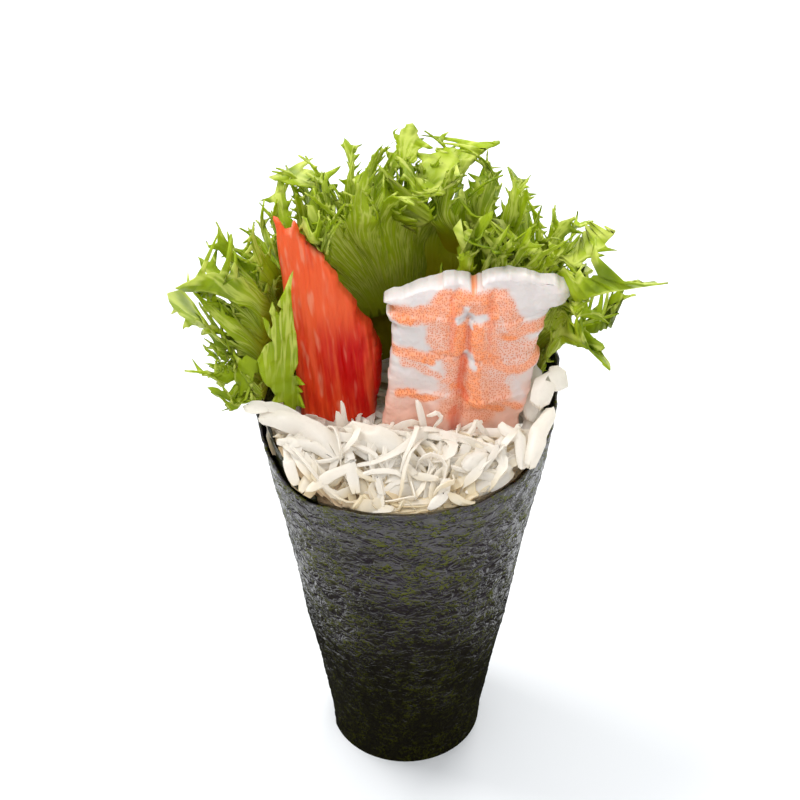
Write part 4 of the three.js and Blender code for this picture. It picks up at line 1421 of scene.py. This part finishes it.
def build_shrimp(finish):
    """A butterflied shrimp: two swollen halves beside a groove, in steps from segment to segment."""

    def place(across, up, side):
        run = mix(SHRIMP_FOOT, along(SHRIMP_TOP, across), up)
        from_middle = np.abs(2.0 * across - 1.0)
        ragged = 0.35 * rough(np.stack([run, across * 2.0, 0.0 * run], -1), 1.4, 2, 41.0)
        x = mix(along(SHRIMP_LEFT, run), along(SHRIMP_RIGHT, run), across) + ragged * from_middle**2
        run = run + 0.3 * rough(np.stack([x, up * 2.0, 0 * x], -1), 1.6, 2, 42.0) * up**3
        from_groove = x - along(GROOVE, run)
        valley = np.exp(-((from_groove / 0.9) ** 2)) * (0.55 + 0.45 * ease(run, 14.0, 8.0))
        crown = np.sqrt(np.maximum(0.0, 1.0 - from_middle**4))
        edge = ease(run, 31.0, 23.0)
        segment = np.mod(run - 1.8 + 0.6 * np.sin(from_groove * 0.3), SEGMENT) / SEGMENT
        step = 0.55 * segment**2.5 * crown
        swell = 0.5 * np.sin(np.clip(np.abs(from_groove) / 6.0, 0, 1) * math.pi)
        spot = np.stack([x, run, 0 * x], -1)
        soft, fine = 0.35 * rough(spot, 4.0, 2, 43.0), 0.07 * rough(spot, 0.9, 2, 44.0)
        lobes = stroke_mask(RAISED_STROKES, x, run, 0.9) * 0.7
        half = SHRIMP_THICK * (0.16 + 0.34 * crown) * mix(0.45, 1.0, edge)
        front = SHRIMP_THICK / 2 - half + 1.1 * valley * edge - step - swell * edge - soft - fine - lobes
        back = SHRIMP_THICK / 2 + half * 0.9 + soft
        return leaning(SHRIMP_BASE, SHRIMP_LEAN, x, run, mix(front, back, side))

    piece, _ = slab("shrimp_halves", 170, 190, place)
    x, run = leaning_place(piece, SHRIMP_LEAN)
    keep_place(piece, x, run)
    spot = np.stack([x, run, 0 * x], -1)
    x = x + 0.45 * rough(spot, 1.6, 2, 45.0)
    run = run + 0.35 * rough(spot, 1.6, 2, 46.0)
    below_fold = ease(run, 28.0, 27.0)
    store(piece, "orange", stroke_mask(STROKES, x, run) * below_fold)
    store(piece, "deep", stroke_mask(DEEP_STROKES, x, run, 0.5) * below_fold)
    store(piece, "white", np.maximum(stroke_mask(WHITE_SPOTS, x, run, 0.3), ease(run, 26.6, 28.4) * 0.7))
    store(piece, "pink", ease(run, 17.0, 3.0))
    finished(piece, "shrimp", finish)


def shrimp_finish(colours):
    finish = Finish("shrimp_meat")
    where = finish.place("UV")
    cloud = finish.noise(where, 22.0, 2.0)
    mottle = finish.noise(where, 150.0, 3.0, 0.6)
    orange = finish.value("orange")
    dots = finish.fit(finish.cells(where, 250.0, randomness=0.75), 0.18, 0.38, 1.0, 0.0)
    pink = finish.fit(finish.value("pink") + cloud * 0.4, 0.2, 1.2)
    colour = finish.blend(pink, colours.shrimp, colours.shrimp_pink)
    colour = finish.blend((orange * (0.42 + mottle)).clamped(), colour, colours.shrimp_orange)
    colour = finish.blend(finish.value("white"), colour, colours.shrimp)
    dotted = dots * finish.fit(orange, 0.1, 0.5) * (1.0 - finish.value("white")) * 0.75
    colour = finish.blend(dotted, colour, colours.shrimp_dot)
    colour = finish.blend(finish.value("deep") * 0.8, colour, colours.shrimp_deep)
    return finish.surface(
        Base_Color=colour,
        Roughness=finish.fit(mottle, 0.3, 0.7, 0.3, 0.42),
        Subsurface_Weight=0.25,
        Subsurface_Radius=(1.0, 0.45, 0.3),
        Subsurface_Scale=0.0015,
        Normal=finish.bump(mottle, 0.0002, 0.5),
    )


# ---- what a user can change --------------------------------------------------------------------
def colour_prop(name, description, *default):
    return bpy.props.FloatVectorProperty(
        name=name, description=description, default=rgb(*default), size=4, min=0.0, max=1.0, subtype="COLOR"
    )


def length_prop(name, description, default):
    return bpy.props.FloatProperty(name=name, description=description, default=default, unit="LENGTH")


def count_prop(name, description, default):
    return bpy.props.IntProperty(name=name, description=description, default=default, min=1)


class RollColours(bpy.types.PropertyGroup):
    leaf: colour_prop("Leaf", "Lettuce near its frilled edge", 0.45, 0.58, 0.012)
    leaf_heart: colour_prop("Leaf heart", "Lettuce low in the cup", 0.46, 0.42, 0.003)
    leaf_back: colour_prop("Leaf back", "Outer side of the lettuce, low down", 0.40, 0.53, 0.12)
    leaf_deep: colour_prop("Leaf deep", "Darker patches of the lettuce", 0.19, 0.29, 0.005)
    leaf_vein: colour_prop("Leaf vein", "Pale ribs of the lettuce", 0.82, 0.88, 0.20)
    # Painted reflection and shade: the nori colours for high on the cone are lighter and greyer, as a
    # painted sheen, and those for low down are darker, as painted shade; the darkest one is also painted
    # into the creases as shade.
    nori: colour_prop("Nori", "Nori high on the cone", 0.024, 0.018, 0.024)
    nori_low: colour_prop("Nori low", "Darkest nori", 0.006, 0.005, 0.003)
    nori_fleck: colour_prop("Nori fleck", "Green flecks high in the nori", 0.085, 0.092, 0.010)
    nori_fleck_low: colour_prop("Low nori fleck", "Green flecks low in the nori", 0.023, 0.024, 0.002)
    nori_inside: colour_prop("Nori inside", "Inner face of the nori", 0.012, 0.012, 0.003)
    cabbage: colour_prop("Cabbage", "Pale cabbage", 0.97, 0.93, 0.86)
    # Painted shade: the warm and the dark cabbage colours are painted on shreds lying low in the heap and on
    # the core; the warm one also comes in at random.
    cabbage_warm: colour_prop("Cabbage warm", "Yellower cabbage", 0.88, 0.77, 0.53)
    cabbage_gap_shade: colour_prop("Cabbage deep", "Cabbage down in the gaps", 0.75, 0.56, 0.36)
    # Painted light and shade: the upper-left crab colour is the lit one, the lower-right colour is its own
    # deeper red with painted shade, and the lighter colour paints light on the top besides marking lighter
    # strands.
    crab: colour_prop("Crab", "Crab meat, upper left", 0.80, 0.060, 0.012)
    crab_deep_red_and_shade: colour_prop("Crab deep", "Crab meat, lower right", 0.54, 0.004, 0.003)
    crab_pale_and_lit: colour_prop("Crab pale", "Lighter strands of the crab meat", 0.88, 0.14, 0.04)
    crab_streak: colour_prop("Crab streak", "Whitish streaks of the crab meat", 0.88, 0.36, 0.22)
    shrimp: colour_prop("Shrimp", "White shrimp meat", 0.66, 0.60, 0.58)
    shrimp_pink: colour_prop("Shrimp pink", "Lower shrimp meat", 0.79, 0.45, 0.35)
    shrimp_orange: colour_prop("Shrimp orange", "Bands of the shrimp", 0.90, 0.29, 0.095)
    shrimp_dot: colour_prop("Shrimp dots", "Fine dots of the bands", 0.62, 0.13, 0.03)
    shrimp_deep: colour_prop("Shrimp deep", "Groove of the shrimp", 0.75, 0.10, 0.02)


class RollSizes(bpy.types.PropertyGroup):
    nori_thick: length_prop("Nori thickness", "Thickness of the wound nori", 0.00045)
    leaf_thick: length_prop("Leaf thickness", "Thickness of the large and side leaves", 0.0003)
    torn_strips: count_prop("Torn strips", "Strips of cabbage torn into fingers", 100)
    threads: count_prop("Threads", "Narrow shreds scattered on the heap", 120)
    curls: count_prop("Curls", "Narrow curled shreds on the heap", 65)
    rim_threads: count_prop("Rim threads", "Shreds along the inside of the rim", 80)
    back_strips: count_prop("Back strips", "Torn strips behind the toppings", 30)
    flakes: count_prop("Flakes", "Broad shreds scattered on the heap", 36)


class RollStage(bpy.types.PropertyGroup):
    elevation: bpy.props.FloatProperty(
        name="Elevation", description="Camera above the horizon", default=math.radians(42.1), subtype="ANGLE"
    )
    distance: length_prop("Distance", "Camera to the aim point", 0.491)
    aim_height: length_prop("Aim height", "Height that the camera looks at", 0.0792)
    aim_side: length_prop("Aim side", "X that the camera looks at", -0.00106)
    lens: bpy.props.FloatProperty(name="Lens", description="Focal length in mm", default=127.5)


# Lamps: name, place and size in metres, and power in watts; all point at the middle of the roll.
LAMPS = (
    ("key", (-0.45, 0.2, 0.9), 0.45, 6.0),
    ("fill", (0.35, -0.6, 0.8), 0.6, 1.5),
    ("back", (0.3, 0.75, 0.45), 0.5, 4.0),
)
LAMP_AIM = (0.0, 0.0, 0.08)


def add_floor():
    floor = start("floor", "plane", size=6.0)
    pale = Finish("pale_floor")
    floor.data.materials.append(pale.surface(Base_Color=rgb(0.86, 0.87, 0.88), Roughness=0.7))


def add_world(scene):
    scene.world = bpy.data.worlds.new("soft_white")
    scene.world.use_nodes = True
    sky = scene.world.node_tree.nodes["Background"].inputs
    sky["Color"].default_value = rgb(0.96, 0.98, 1.0)
    sky["Strength"].default_value = 0.9


def add_lamp(scene, name, place, size, power):
    lamp = bpy.data.lights.new(name, "AREA")
    lamp.energy, lamp.size = power, size
    holder = bpy.data.objects.new(name, lamp)
    scene.collection.objects.link(holder)
    holder.location = place
    aim = Vector(LAMP_AIM) - Vector(place)
    holder.rotation_euler = aim.to_track_quat("-Z", "Y").to_euler()


def add_camera(scene, stage):
    camera = bpy.data.objects.new("camera", bpy.data.cameras.new("camera"))
    scene.collection.objects.link(camera)
    back = stage.distance * math.cos(stage.elevation)
    rise = stage.distance * math.sin(stage.elevation)
    camera.location = (stage.aim_side, -back, stage.aim_height + rise)
    camera.rotation_euler = (math.pi / 2 - stage.elevation, 0.0, 0.0)
    camera.data.lens = stage.lens
    camera.data.sensor_width = 36.0
    camera.data.clip_start = 0.01
    scene.camera = camera


# ---- operators ---------------------------------------------------------------------------------
class ROLL_OT_nori(bpy.types.Operator):
    """Add the wound nori sheet"""

    bl_idname = "roll.nori"
    bl_label = "Nori"

    def execute(self, context):
        scene = context.scene
        build_nori(nori_finish(scene.roll_colours), scene.roll_sizes.nori_thick / MM)
        return {"FINISHED"}


class ROLL_OT_cabbage(bpy.types.Operator):
    """Add the shredded cabbage and its core"""

    bl_idname = "roll.cabbage"
    bl_label = "Cabbage"

    def execute(self, context):
        colours, sizes = context.scene.roll_colours, context.scene.roll_sizes
        shred_finish = cabbage_finish(colours, "cabbage_shred", 0.0)
        # Painted shade: the core is darkened, as shade down between the shreds.
        build_core(cabbage_finish(colours, "cabbage_core", 0.35))
        build_threads(shred_finish, sizes)
        build_flakes(shred_finish, sizes)
        build_chunks(shred_finish)
        return {"FINISHED"}


class ROLL_OT_crab(bpy.types.Operator):
    """Add the stick of crab meat"""

    bl_idname = "roll.crab"
    bl_label = "Crab"

    def execute(self, context):
        build_crab(crab_finish(context.scene.roll_colours))
        return {"FINISHED"}


class ROLL_OT_shrimp(bpy.types.Operator):
    """Add the butterflied shrimp"""

    bl_idname = "roll.shrimp"
    bl_label = "Shrimp"

    def execute(self, context):
        build_shrimp(shrimp_finish(context.scene.roll_colours))
        return {"FINISHED"}


class ROLL_OT_lettuce(bpy.types.Operator):
    """Add the frilly lettuce leaves"""

    bl_idname = "roll.lettuce"
    bl_label = "Lettuce"

    def execute(self, context):
        finish = lettuce_finish(context.scene.roll_colours)
        for leaf in lettuce_leaves():
            leaf.build(finish, context.scene.roll_sizes.leaf_thick / MM)
        front_tongue(finish)
        return {"FINISHED"}


class ROLL_OT_stage(bpy.types.Operator):
    """Add the floor, the soft lights and the camera"""

    bl_idname = "roll.stage"
    bl_label = "Stage"

    def execute(self, context):
        scene = context.scene
        add_floor()
        add_world(scene)
        for lamp in LAMPS:
            add_lamp(scene, *lamp)
        add_camera(scene, scene.roll_stage)
        scene.view_settings.view_transform = "Standard"
        return {"FINISHED"}


class ROLL_PT_panel(bpy.types.Panel):
    """Lists the pieces of the roll"""

    bl_label = "Hand Roll"
    bl_idname = "ROLL_PT_panel"
    bl_space_type = "VIEW_3D"
    bl_region_type = "UI"
    bl_category = "Hand Roll"

    def draw(self, context):
        for operator in OPERATORS:
            self.layout.operator(operator.bl_idname)
        scene = context.scene
        for group in (scene.roll_sizes, scene.roll_colours, scene.roll_stage):
            for key in group.__annotations__:
                self.layout.prop(group, key)


OPERATORS = (ROLL_OT_nori, ROLL_OT_cabbage, ROLL_OT_crab, ROLL_OT_shrimp, ROLL_OT_lettuce, ROLL_OT_stage)
CLASSES = (RollSizes, RollColours, RollStage, *OPERATORS, ROLL_PT_panel)


def register():
    for item in CLASSES:
        bpy.utils.register_class(item)
    bpy.types.Scene.roll_sizes = bpy.props.PointerProperty(type=RollSizes)
    bpy.types.Scene.roll_colours = bpy.props.PointerProperty(type=RollColours)
    bpy.types.Scene.roll_stage = bpy.props.PointerProperty(type=RollStage)


def unregister():
    del bpy.types.Scene.roll_stage
    del bpy.types.Scene.roll_colours
    del bpy.types.Scene.roll_sizes
    for item in reversed(CLASSES):
        bpy.utils.unregister_class(item)


def main():
    register()
    bpy.ops.roll.nori()
    bpy.ops.roll.cabbage()
    bpy.ops.roll.crab()
    bpy.ops.roll.shrimp()
    bpy.ops.roll.lettuce()
    bpy.ops.roll.stage()


if __name__ == "__main__":
    main()
